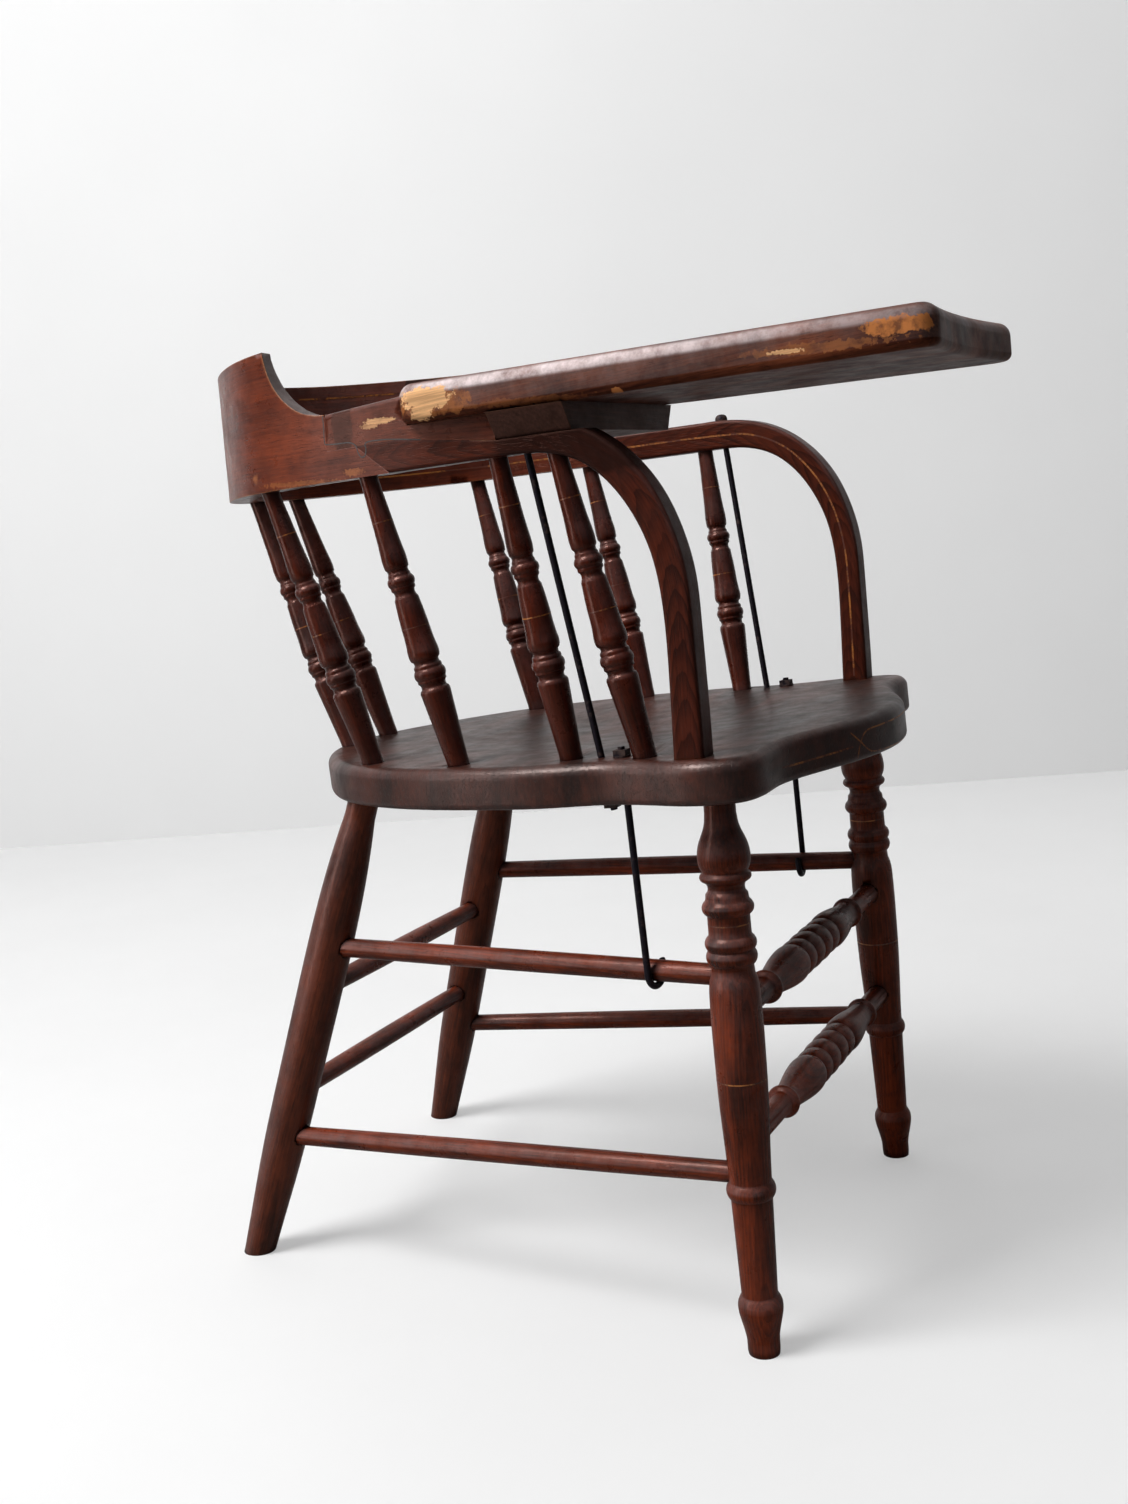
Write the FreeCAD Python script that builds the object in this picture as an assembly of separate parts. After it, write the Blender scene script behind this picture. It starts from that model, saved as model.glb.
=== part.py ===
import FreeCAD, Part
import math
import os

from FreeCAD import Placement, Rotation, Vector

# Writing arm windsor chair, in millimetres.
# +Z is up, the chair faces -Y, the sitter's right hand (the tablet side) is -X.
# The pieces are drawn from the point of the floor below the middle of the arms, then the whole
# chair is moved so that the middle of its bounding box lies over the origin.

# Seat: three boards glued edge to edge, with a shallow hollow and a wavy front
seat_height = 438.0
seat_slope_deg = 3.32
seat_thickness = 31.5
seat_half_width = 230.0
seat_rear_reach = 302.0
seat_front_reach = 196.0
seat_top_round = 9.0
seat_under_round = 5.0
seat_hollow_depth = 7.0
seat_hollow_half_width = 150.0
seat_hollow_rear = 35.0
seat_rear_joint = 68.0
seat_front_joint = 56.0
# from the middle of the rear edge to the middle of the front edge: side, rear or front
SEAT_REAR_SHARES = (
    (0.0, 1.0), (0.217, 0.97), (0.426, 0.877), (0.609, 0.755), (0.73, 0.629), (0.822, 0.483),
    (0.883, 0.321), (0.917, 0.159), (0.926, 0.013),
)
SEAT_FRONT_SHARES = (
    (0.909, 0.173), (0.94, 0.367), (0.985, 0.536), (0.987, 0.655), (0.95, 0.752), (0.85, 0.792),
    (0.683, 0.791), (0.478, 0.862), (0.287, 0.949), (0.096, 1.0),
)

# Legs: splayed, the front ones turned, the rear ones plain and swelling
front_leg_foot_side_share = 0.8252
front_leg_foot_front = 131.0
front_leg_top_side_share = 0.7809
front_leg_top_front = 115.7
front_leg_neck_length = 10.8
front_leg_radius = 19.0
rear_leg_foot_side_share = 0.7026
rear_leg_foot_rear = 337.9
rear_leg_top_side_share = 0.5517
rear_leg_top_rear = 217.7
rear_leg_neck_length = 12.7
rear_leg_radius = 18.6
leg_tenon_length = 24.0
# runs of height and radius; two points are a straight run, three an arc, more a flowing curve
FRONT_LEG_SHARES = (
    ((0.0, 0.605), (0.012, 0.63), (0.03, 0.637), (0.042, 0.678), (0.06, 0.762), (0.075, 0.836),
     (0.09, 0.872), (0.1, 0.845), (0.108, 0.77), (0.113, 0.7)),
    ((0.113, 0.7), (0.16, 0.725), (0.22, 0.76), (0.293, 0.802)),
    ((0.293, 0.802), (0.309, 0.953), (0.325, 0.818)),
    ((0.325, 0.818), (0.38, 0.857), (0.468, 0.942), (0.56, 0.978), (0.62, 0.985), (0.66, 0.973),
     (0.685, 0.945), (0.7, 0.882), (0.707, 0.83)),
    ((0.707, 0.83), (0.722, 0.806)),
    ((0.722, 0.806), (0.725, 0.87)),
    ((0.725, 0.87), (0.7365, 0.97), (0.75, 0.875)),
    ((0.75, 0.875), (0.7625, 0.978), (0.774, 0.87)),
    ((0.774, 0.87), (0.777, 0.812)),
    ((0.777, 0.812), (0.812, 0.803)),
    ((0.812, 0.803), (0.8145, 0.87)),
    ((0.8145, 0.87), (0.8265, 0.982), (0.8385, 0.85)),
    ((0.8385, 0.85), (0.842, 0.818)),
    ((0.842, 0.818), (0.851, 0.8)),
    ((0.851, 0.8), (0.855, 0.73)),
    ((0.855, 0.73), (0.8615, 0.697), (0.8705, 0.76)),
    ((0.8705, 0.76), (0.8745, 0.9)),
    ((0.8745, 0.9), (0.881, 0.978), (0.8875, 0.92)),
    ((0.8875, 0.92), (0.8905, 0.85)),
    ((0.8905, 0.85), (0.898, 0.93), (0.907, 0.985), (0.917, 1.0), (0.93, 0.972), (0.945, 0.888),
     (0.96, 0.752), (0.972, 0.662), (0.985, 0.612), (0.994, 0.597)),
    ((0.994, 0.597), (1.0, 0.597)),
)
REAR_LEG_SHARES = (
    ((0.0, 0.7), (0.1, 0.8), (0.2155, 0.915), (0.422, 0.975), (0.629, 1.0), (0.8, 0.965),
     (0.9, 0.86), (0.965, 0.74), (0.99, 0.685)),
    ((0.99, 0.685), (1.0, 0.68)),
)

# Stretchers: plain dowels at the sides and the rear, turned ones at the front
stretcher_radius = 8.5
stretcher_short_of_axis = 5.0
side_upper_front_height = 282.2
side_upper_rear_height = 269.4
side_lower_front_height = 136.0
side_lower_rear_height = 104.8
rear_upper_height = 232.0
rear_lower_height = 143.0
front_upper_height = 254.5
front_lower_height = 159.0
front_stretcher_radius = 15.6
DOWEL_SHARES = (
    ((0.0, 0.93), (0.06, 0.93)),
    ((0.06, 0.93), (0.25, 0.975), (0.5, 1.0), (0.75, 0.975), (0.94, 0.93)),
    ((0.94, 0.93), (1.0, 0.93)),
)
# one half, from the leg to the middle: distance along, radius
FRONT_STRETCHER_HALF_SHARES = (
    ((0.0, 0.56), (0.18, 0.56)),
    ((0.18, 0.56), (0.187, 0.72)),
    ((0.187, 0.72), (0.196, 0.84), (0.205, 0.72)),
    ((0.205, 0.72), (0.209, 0.66)),
    ((0.209, 0.66), (0.232, 0.69), (0.268, 0.79), (0.305, 0.91), (0.342, 0.99), (0.368, 0.985),
     (0.381, 0.92)),
    ((0.381, 0.92), (0.3835, 0.83)),
    ((0.3835, 0.83), (0.388, 0.83)),
    ((0.388, 0.83), (0.391, 0.89)),
    ((0.391, 0.89), (0.413, 0.965), (0.435, 0.89)),
    ((0.435, 0.89), (0.4385, 0.835)),
    ((0.4385, 0.835), (0.442, 0.835)),
    ((0.442, 0.835), (0.4455, 0.9)),
    ((0.4455, 0.9), (0.47, 0.985), (0.4945, 0.9)),
    ((0.4945, 0.9), (0.498, 0.835)),
)
FRONT_STRETCHER_MIDDLE_SHARES = ((0.498, 0.835), (0.502, 0.835))
# how far each one's turning stands off its middle, towards the left leg
front_upper_shift_share = -0.028
front_lower_shift_share = 0.02

# Bent arms, the rail they form with the crest, and the crest itself
rail_rise = 220.0
rail_under_height = seat_height + rail_rise
rail_slope_deg = 3.1
rail_depth = 25.5
rail_thickness = 22.0
rail_side_share = 0.8957
rail_half_width = seat_half_width * rail_side_share
rail_rear_reach = 363.0
rail_front_reach = 135.0
lap_top_share = 0.3994
lap_under_share = 0.3085
lap_top_rear = rail_rear_reach * lap_top_share
lap_under_rear = rail_rear_reach * lap_under_share
# from the middle of the rear to the front: side, rear
RAIL_REAR_SHARES = (
    (0.0, 1.0), (0.165, 0.988), (0.335, 0.949), (0.533, 0.871), (0.69, 0.785), (0.825, 0.678),
    (0.902, 0.545), (0.958, 0.36), (0.992, 0.15), (1.0, 0.0),
)
arm_foot_front = 108.75
arm_foot_depth = 22.5
arm_tenon_depth = 12.0
arm_tenon_width = 12.0
arm_tenon_length = 18.0
# side view of the bend: forward of the middle of the seat, above the seat there
arm_bend_reach = 120.0
arm_bend_fall = 2.0
arm_bend_rise = rail_rise + rail_depth - arm_bend_fall
arm_bend_rear = 22.0
ARM_OUTER_SHARES = (
    (0.9875, 0.255), (0.975, 0.42), (0.96, 0.53), (0.892, 0.669), (0.78, 0.787), (0.667, 0.86),
    (0.55, 0.913), (0.4, 0.96), (0.225, 0.992), (0.03, 1.006),
)
ARM_INNER_SHARES = (
    (0.8125, 0.255), (0.794, 0.48), (0.742, 0.612), (0.65, 0.715), (0.508, 0.809), (0.392, 0.856),
    (0.25, 0.888), (0.08, 0.902),
)
crest_depth = 100.0
# the right end stands a little higher than the rest
crest_corner_lift = 3.5
crest_level_share = 0.95
crest_level_rear = rail_rear_reach * crest_level_share
crest_end_share = 0.4656
crest_end_rear = rail_rear_reach * crest_end_share
crest_end_depth = 23.5
crest_drop_share = 0.6309
crest_drop_rear = rail_rear_reach * crest_drop_share
crest_run_out_share = 0.42
rail_edge_round = 3.0
# an edge longer than this share of the rail's thickness runs along it and is rounded
long_edge_share = 1.3

# Spindles
spindle_radius = 12.2
spindle_tenon_length = 15.0
# where each of one side's four stands: along the seat's half width and rear reach
SPINDLE_FOOT_SHARES = ((0.135, 0.938), (0.643, 0.621), (0.794, 0.298), (0.803, -0.018))
# and where each goes into the rail: along it from its rear middle, or from its front end
spindle_head_from_middle = 30.0
mid_rear_head_from_middle = 214.8
mid_front_head_from_end = 274.8
front_head_from_end = 160.8
support_foot_side_share = 0.8435
support_foot_front = 67.5
support_head_front = 20.0
SPINDLE_SHARES = (
    ((0.0, 0.7), (0.03, 0.705)),
    ((0.03, 0.705), (0.1, 0.775), (0.17, 0.848), (0.235, 0.92), (0.262, 0.948)),
    ((0.262, 0.948), (0.27, 0.905)),
    ((0.27, 0.905), (0.274, 0.81)),
    ((0.274, 0.81), (0.283, 0.775), (0.292, 0.82)),
    ((0.292, 0.82), (0.295, 0.885)),
    ((0.295, 0.885), (0.3, 0.905), (0.305, 0.885)),
    ((0.305, 0.885), (0.322, 1.0), (0.338, 0.91)),
    ((0.338, 0.91), (0.341, 0.865)),
    ((0.341, 0.865), (0.347, 0.885), (0.353, 0.86)),
    ((0.353, 0.86), (0.356, 0.8)),
    ((0.356, 0.8), (0.363, 0.77), (0.37, 0.81)),
    ((0.37, 0.81), (0.374, 0.9)),
    ((0.374, 0.9), (0.382, 0.948), (0.42, 0.928), (0.5, 0.855), (0.56, 0.785), (0.583, 0.75)),
    ((0.583, 0.75), (0.59, 0.685)),
    ((0.59, 0.685), (0.601, 0.635), (0.611, 0.675)),
    ((0.611, 0.675), (0.614, 0.74)),
    ((0.614, 0.74), (0.62, 0.762), (0.626, 0.745)),
    ((0.626, 0.745), (0.641, 0.855), (0.656, 0.76)),
    ((0.656, 0.76), (0.659, 0.71)),
    ((0.659, 0.71), (0.668, 0.69)),
    ((0.668, 0.69), (0.676, 0.635), (0.684, 0.665)),
    ((0.684, 0.665), (0.688, 0.735)),
    ((0.688, 0.735), (0.697, 0.757), (0.76, 0.722), (0.86, 0.635), (0.96, 0.565)),
    ((0.96, 0.565), (1.0, 0.56)),
)

# Writing tablet, the cleat that carries it and the filler behind it
tablet_slope_deg = 2.7
tablet_rise = 5.1
tablet_under_height = rail_under_height + rail_depth + tablet_rise
tablet_thickness = 27.9
tablet_outer_side_share = 0.9957
tablet_outer_side = seat_half_width * tablet_outer_side_share
tablet_outer_front = 292.5
tablet_outer_rear = 93.0
tablet_inner_side_share = 0.1609
tablet_inner_side = seat_half_width * tablet_inner_side_share
tablet_front_hollow = 8.0
tablet_waist_side_share = 0.1304
tablet_waist_side = seat_half_width * tablet_waist_side_share
tablet_waist_front = 40.0
tablet_rear_inner_side_share = 0.5217
tablet_rear_inner_side = seat_half_width * tablet_rear_inner_side_share
tablet_corner_round = 14.0
tablet_inner_corner_round = 18.0
tablet_waist_round = 160.0
tablet_top_round = 10.0
tablet_under_round = 5.5
cleat_outer_side_share = 0.9957
cleat_outer_side = seat_half_width * cleat_outer_side_share
cleat_inner_side_share = 0.1304
cleat_inner_side = seat_half_width * cleat_inner_side_share
cleat_undercut = 14.0
cleat_inner_undercut = 9.0
cleat_front = 37.0
cleat_rear = 21.0
cleat_depth = 19.0
filler_top_rise = 8.0
planed_share = 0.2865
planed_rear = rail_rear_reach * planed_share

# Iron tie rods, nuts and washers
rod_radius = 2.6
rod_head_inside = 4.0
rod_head_gap = 21.8
rod_seat_side_share = 0.8043
rod_seat_front = 29.5
hook_rod_seat_side_share = 0.8174
hook_rod_seat_front = 47.0
hook_front = 57.0
hook_turn_deg = 205.0
hook_clearance = 0.5
rod_stand_out = 2.0
nut_width = 9.5
nut_thickness = 4.0
washer_radius = 6.5
washer_thickness = 1.5
cap_nut_radius = 5.5
cap_nut_height = 5.5
cap_nut_clearance = 1.0

SPINDLE_PLACES = ("rear", "mid_rear", "mid_front", "front")
CAP_NUT_SHARES = (
    ((0.0, 1.0), (0.35, 1.0)),
    ((0.35, 1.0), (0.8, 0.75), (1.0, 0.06)),
)

# Fits
socket_clearance = 0.1
socket_depth_clearance = 0.2
well_beyond = 900.0
same_place_tolerance = 0.001
curve_step_count = 24

RIGHT = -1
LEFT = 1
UP = Vector(0, 0, 1)
ACROSS = Vector(1, 0, 0)


# Helpers for outlines and placing

def edge_through(points):
    """Straight edge for two points, an arc for three, a flowing curve for more."""
    if len(points) == 2:
        return Part.LineSegment(points[0], points[1]).toShape()
    if len(points) == 3:
        return Part.Arc(points[0], points[1], points[2]).toShape()
    curve = Part.BSplineCurve()
    curve.interpolate(points)
    return curve.toShape()


def turned(runs, length, radius, foot=0.0, head=0.0):
    """Turned piece along +Z from zero to length, its ends drawn on straight by foot and head."""
    edges = []
    for run in runs:
        points = [Vector(share * radius, 0, height * length) for height, share in run]
        edges.append(edge_through(points))
    first = edges[0].Vertexes[0].Point
    last = edges[-1].Vertexes[-1].Point
    foot_middle = Vector(0, 0, first.z - foot)
    head_middle = Vector(0, 0, last.z + head)
    corners = [last, Vector(last.x, 0, head_middle.z), head_middle, foot_middle]
    corners += [Vector(first.x, 0, foot_middle.z), first]
    for start, end in zip(corners, corners[1:]):
        if not start.isEqual(end, same_place_tolerance):
            edges.append(edge_through([start, end]))
    outline = Part.Wire(Part.__sortEdges__(edges))
    return Part.Face(outline).revolve(Vector(0, 0, 0), UP, 360)


def set_along(shape, start, end):
    """The shape with its own +Z turned along the way from start to end."""
    shape.Placement = Placement(start, Rotation(UP, end - start))
    return shape


def round_bar(start, end, radius):
    """Plain cylinder between two points."""
    return set_along(Part.makeCylinder(radius, (end - start).Length), start, end)


def drawn_on(start, end, more):
    """The point that lies past the end by the given distance."""
    return end + (end - start).normalize() * more


def side_block(points, inner, outer):
    """Block across the chair whose side view is the outline of (forward to rear, height) points."""
    corners = [Vector(inner, rear, height) for rear, height in points]
    outline = Part.makePolygon(corners + corners[:1])
    return Part.Face(outline).extrude(ACROSS * (outer - inner))


def flat_distance(one, other):
    """Distance between two points in plan."""
    return math.hypot(one.x - other.x, one.y - other.y)


def mirrored(points):
    """Closed list of plan points from one half, rear to front, and its mirror image."""
    whole = list(points)
    for point in reversed(points):
        if point.x > 0:
            whole.append(Vector(-point.x, point.y, point.z))
    return whole


# Planes of the seat and of the rail

def seat_top(rear):
    """Height of the seat's flat top at a distance to the rear."""
    return seat_height - rear * math.tan(math.radians(seat_slope_deg))


def seat_under(rear):
    """Height of the seat's underside at a distance to the rear."""
    return seat_top(rear) - seat_thickness / math.cos(math.radians(seat_slope_deg))


def rail_under(rear):
    """Height of the underside of the arms and the crest."""
    return rail_under_height - rear * math.tan(math.radians(rail_slope_deg))


def rail_top(rear):
    """Height of the top of the arms."""
    return rail_under(rear) + rail_depth


def tablet_under(rear):
    """Height of the underside of the writing tablet."""
    return tablet_under_height - rear * math.tan(math.radians(tablet_slope_deg))


def cleat_under(rear):
    """Height of the flat on the arm that the cleat lies on."""
    return tablet_under(rear) - cleat_depth


def between_heights(low, high, front, rear):
    """Block across the whole chair between two sloping planes."""
    points = [(front, low(front)), (rear, low(rear)), (rear, high(rear)), (front, high(front))]
    return side_block(points, -well_beyond, well_beyond)


def reach_plane(start, end, height_at):
    """Where the line from start to end meets a plane that slopes to the rear."""
    rise_start = start.z - height_at(start.y)
    rise_end = end.z - height_at(end.y)
    return start + (end - start) * (rise_start / (rise_start - rise_end))


# Seat

def seat_outline_points():
    """Plan of the seat's edge as a closed run of points."""
    half = [Vector(side * seat_half_width, rear * seat_rear_reach, 0)
            for side, rear in SEAT_REAR_SHARES]
    half += [Vector(side * seat_half_width, -front * seat_front_reach, 0)
             for side, front in SEAT_FRONT_SHARES]
    return mirrored(half)


def seat_blank():
    """The seat in one piece, flat, with its top at height zero."""
    curve = Part.BSplineCurve()
    curve.interpolate(Points=seat_outline_points(), PeriodicFlag=True)
    blank = Part.Face(Part.Wire(curve.toShape())).extrude(UP * -seat_thickness)
    top = [edge for edge in blank.Edges if edge.BoundBox.ZMin > -seat_thickness / 2]
    blank = blank.makeFillet(seat_top_round, top)
    under = [edge for edge in blank.Edges if edge.BoundBox.ZMax < seat_under_round - seat_thickness]
    blank = blank.makeFillet(seat_under_round, under)
    radius = (seat_hollow_half_width ** 2 + seat_hollow_depth ** 2) / (2 * seat_hollow_depth)
    ball = Part.makeSphere(radius, Vector(0, seat_hollow_rear, radius - seat_hollow_depth))
    return blank.cut(ball)


def seat_boards(sockets):
    """The three boards with every socket bored, from the rear to the front."""
    blank = seat_blank()
    rows = ((seat_rear_joint, well_beyond), (-seat_front_joint, seat_rear_joint),
            (-well_beyond, -seat_front_joint))
    boards = []
    for front, rear in rows:
        row = Part.makeBox(2 * well_beyond, rear - front, 2 * well_beyond,
                           Vector(-well_beyond, front, -well_beyond))
        board = blank.common(row)
        board.Placement = Placement(Vector(0, 0, seat_height), Rotation(ACROSS, -seat_slope_deg))
        boards.append(board.cut(sockets))
    return boards


# Legs and stretchers

def front_leg_axis(side):
    """Foot and top of a front leg's turned length."""
    half = side * seat_half_width
    foot = Vector(half * front_leg_foot_side_share, -front_leg_foot_front, 0)
    top = Vector(half * front_leg_top_side_share, -front_leg_top_front, 0)
    top.z = seat_under(top.y) - front_leg_neck_length
    return foot, top


def rear_leg_axis(side):
    """Foot and top of a rear leg's turned length."""
    half = side * seat_half_width
    foot = Vector(half * rear_leg_foot_side_share, rear_leg_foot_rear, 0)
    top = Vector(half * rear_leg_top_side_share, rear_leg_top_rear, 0)
    top.z = seat_under(top.y) - rear_leg_neck_length
    return foot, top


def leg_tenon_end(axis):
    """Top of the leg's tenon inside the seat."""
    return drawn_on(axis[0], reach_plane(axis[0], axis[1], seat_under), leg_tenon_length)


def leg(runs, axis, radius):
    """Leg from the floor to the end of its tenon."""
    length = (axis[1] - axis[0]).Length
    head = (leg_tenon_end(axis) - axis[1]).Length
    piece = set_along(turned(runs, length, radius, radius, head), axis[0], axis[1])
    return piece.common(Part.makeBox(2 * well_beyond, 2 * well_beyond, well_beyond,
                                     Vector(-well_beyond, -well_beyond, 0)))


def point_on_leg(axis, height):
    """Point of the leg's axis at a height over the floor."""
    return axis[0] + (axis[1] - axis[0]) * (height / axis[1].z)


def stretcher_ends(near, far):
    """Ends of a stretcher inside the two legs, a little short of their axes."""
    start = drawn_on(far, near, -stretcher_short_of_axis)
    return start, drawn_on(near, far, -stretcher_short_of_axis)


def stretcher(runs, near, far, radius):
    """Stretcher between two points of the leg axes."""
    start, end = stretcher_ends(near, far)
    return set_along(turned(runs, (end - start).Length, radius), start, end)


def stretcher_socket(near, far, radius):
    """Space that the stretcher's ends need in the legs."""
    start, end = stretcher_ends(near, far)
    start_less = drawn_on(end, start, socket_depth_clearance)
    end_more = drawn_on(start, end, socket_depth_clearance)
    return round_bar(start_less, end_more, radius + socket_clearance)


def side_lines(side):
    """Axes of one side's upper and lower stretchers, from the rear leg to the front leg."""
    front, rear = front_leg_axis(side), rear_leg_axis(side)
    upper = (point_on_leg(rear, side_upper_rear_height), point_on_leg(front, side_upper_front_height))
    lower = (point_on_leg(rear, side_lower_rear_height), point_on_leg(front, side_lower_front_height))
    return upper, lower


def cross_line(axis_of, height):
    """Axis of a stretcher from the right leg to the left leg."""
    return point_on_leg(axis_of(RIGHT), height), point_on_leg(axis_of(LEFT), height)


def front_stretcher_runs(shift_share):
    """A front stretcher's outline from end to end, its turning off the middle by a share."""
    half = list(FRONT_STRETCHER_HALF_SHARES)
    other = []
    for run in reversed(half):
        other.append(tuple((1 - along, share) for along, share in reversed(run)))
    whole = half + [FRONT_STRETCHER_MIDDLE_SHARES] + other
    return [tuple((along + shift_share if 0 < along < 1 else along, share) for along, share in run)
            for run in whole]


# Arms and crest

def rail_curve():
    """Plan of the middle line of arms and crest, from the right front to the left front."""
    half = [Vector(-side * rail_half_width, rear * rail_rear_reach, 0)
            for side, rear in reversed(RAIL_REAR_SHARES)]
    half.insert(0, Vector(-rail_half_width, -rail_front_reach, 0))
    other = [Vector(-point.x, point.y, 0) for point in reversed(half[:-1])]
    curve = Part.BSplineCurve()
    curve.interpolate(half + other)
    return curve


def rail_point(from_middle, side):
    """Point of the middle line, at a distance along it from the rear middle."""
    curve = rail_curve()
    middle = (curve.FirstParameter + curve.LastParameter) / 2
    place = curve.value(curve.parameterAtDistance(side * from_middle, middle))
    return Vector(place.x, place.y, rail_under(place.y))


def head_distances():
    """How far from the rear middle, along the rail, each of a side's spindles goes in."""
    half = rail_curve().length() / 2
    return (spindle_head_from_middle, mid_rear_head_from_middle, half - mid_front_head_from_end,
            half - front_head_from_end)


def rail_band(thickness):
    """Upright band that follows the middle line in plan."""
    curve = rail_curve()
    first, last = curve.FirstParameter, curve.LastParameter
    outer, inner = [], []
    for step in range(curve_step_count + 1):
        at = first + (last - first) * step / curve_step_count
        out = curve.tangent(at)[0].cross(UP) * (-thickness / 2)
        outer.append(curve.value(at) + out)
        inner.append(curve.value(at) - out)
    outer_edge, inner_edge = edge_through(outer), edge_through(inner)
    ends = [edge_through([outer[0], inner[0]]), edge_through([outer[-1], inner[-1]])]
    outline = Part.Wire(Part.__sortEdges__([outer_edge, ends[1], inner_edge, ends[0]]))
    return Part.Face(outline).extrude(UP * well_beyond)


def lap_ends():
    """Lower and upper end of the slanting joint between an arm and the crest, seen from the side."""
    under = Vector(0, lap_under_rear, rail_under(lap_under_rear))
    return under, Vector(0, lap_top_rear, rail_top(lap_top_rear))


def runs_along(edge):
    """Whether an edge runs along an arm, not across it or in its lap joint."""
    if edge.Length < rail_thickness * long_edge_share:
        return False
    under, top = lap_ends()
    square = (top - under).cross(ACROSS).normalize()
    places = [vertex.Point for vertex in edge.Vertexes]
    return not all(abs((place - under).dot(square)) < same_place_tolerance for place in places)


def rubbed_round(piece):
    """The arm with its long edges rounded."""
    return piece.makeFillet(rail_edge_round, [edge for edge in piece.Edges if runs_along(edge)])


def arm_profile():
    """Side view of an arm, from its foot round the bend to the lap with the crest."""
    foot_front = -arm_foot_front - arm_foot_depth / 2
    foot_rear = -arm_foot_front + arm_foot_depth / 2
    base = seat_under(foot_front)
    outer = [Vector(0, foot_front, base), Vector(0, foot_front, seat_top(foot_front))]
    outer += [Vector(0, -arm_bend_reach * front, seat_height + arm_bend_rise * rise)
              for front, rise in ARM_OUTER_SHARES]
    inner = [Vector(0, foot_rear, base), Vector(0, foot_rear, seat_top(foot_rear))]
    inner += [Vector(0, -arm_bend_reach * front, seat_height + arm_bend_rise * rise)
              for front, rise in ARM_INNER_SHARES]
    outer.append(Vector(0, arm_bend_rear, rail_top(arm_bend_rear)))
    inner.append(Vector(0, arm_bend_rear, rail_under(arm_bend_rear)))
    inner_end, outer_end = lap_ends()
    edges = [edge_through(outer), edge_through([outer[-1], outer_end])]
    edges += [edge_through([outer_end, inner_end]), edge_through([inner_end, inner[-1]])]
    edges += [edge_through(list(reversed(inner))), edge_through([inner[0], outer[0]])]
    return Part.Face(Part.Wire(Part.__sortEdges__(edges)))


def arm_tenon(side, clearance, length):
    """Square tenon of an arm's foot, let into the seat."""
    depth, width = arm_tenon_depth + 2 * clearance, arm_tenon_width + 2 * clearance
    corner = Vector(side * rail_half_width - width / 2, -arm_foot_front - depth / 2,
                    seat_top(-arm_foot_front) - length)
    return Part.makeBox(width, depth, 2 * length, corner)


def arm(side, band):
    """One bent arm with its tenon."""
    block = arm_profile().extrude(ACROSS * (side * well_beyond))
    piece = rubbed_round(band.common(block))
    under_seat = between_heights(lambda rear: 0, seat_top, -well_beyond, 0)
    foot = arm_tenon(side, 0, arm_tenon_length)
    piece = piece.cut(under_seat)
    return piece.fuse(foot.common(under_seat.fuse(piece))).removeSplitter()


def crest_profile(with_filler):
    """Side view of the crest, with a square end for the filler or a drop that runs out."""
    rear = rail_rear_reach + rail_thickness
    lap_under, lap_top = lap_ends()
    far_under = Vector(0, rear, rail_under(rear))
    far_top = Vector(0, rear, rail_under(rear) + crest_depth)
    level = Vector(0, crest_level_rear, rail_under(crest_level_rear) + crest_depth)
    lift = crest_corner_lift if with_filler else 0
    drop_top = Vector(0, crest_drop_rear, rail_under(crest_drop_rear) + crest_depth + lift)
    end_low = Vector(0, crest_end_rear, rail_top(crest_end_rear))
    end_high = Vector(0, crest_end_rear, end_low.z + crest_end_depth)
    reach = crest_drop_rear - crest_end_rear
    fall = drop_top.z - end_high.z
    middle = Vector(0, crest_drop_rear - reach * (1 - math.sqrt(0.5)),
                    end_high.z + fall * (1 - math.sqrt(0.5)))
    edges = [edge_through([lap_top, lap_under]), edge_through([lap_under, far_under])]
    edges += [edge_through([far_under, far_top]), edge_through([far_top, level])]
    edges.append(edge_through([level, drop_top]))
    edges.append(edge_through([drop_top, middle, end_high]))
    if with_filler:
        edges += [edge_through([end_high, end_low]), edge_through([end_low, lap_top])]
    else:
        run_out = Vector(0, (crest_end_rear + lap_top_rear) / 2,
                         end_low.z + crest_end_depth * crest_run_out_share)
        edges.append(edge_through([end_high, run_out, lap_top]))
    return Part.Face(Part.Wire(Part.__sortEdges__(edges)))


def crest(band):
    """The crest with the rear part of the rail, from lap to lap."""
    right = band.common(crest_profile(True).extrude(ACROSS * -well_beyond))
    left = band.common(crest_profile(False).extrude(ACROSS * well_beyond))
    return right.fuse(left).removeSplitter()


def planed_points():
    """Side view of the planed top of the right arm, from the crest's end forward to the cleat."""
    return [(crest_end_rear, rail_top(crest_end_rear) - rail_edge_round),
            (planed_rear, rail_top(planed_rear) - rail_edge_round),
            (cleat_rear, cleat_under(cleat_rear))]


def planed_off():
    """What is planed off the right arm and the crest's end for the cleat and the filler."""
    front = -rail_front_reach
    points = planed_points() + [(front, cleat_under(front)), (front, well_beyond),
                                (crest_end_rear, well_beyond)]
    return side_block(points, -well_beyond, 0)


def filler(band):
    """Filler from the crest's end to the cleat, stepped down under the tablet."""
    step = tablet_outer_rear + socket_depth_clearance
    end_top = rail_top(crest_end_rear) + crest_end_depth
    points = list(reversed(planed_points()))
    points += [(crest_end_rear, end_top), (step, end_top + filler_top_rise),
               (step, tablet_under(step)), (cleat_rear, tablet_under(cleat_rear))]
    piece = band.common(side_block(points, -well_beyond, 0))
    ridge = [edge for edge in piece.Edges
             if edge.BoundBox.ZMin > end_top - same_place_tolerance
             and edge.Length > rail_thickness * long_edge_share]
    return piece.makeFillet(rail_edge_round, ridge)


# Tablet and cleat

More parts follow.
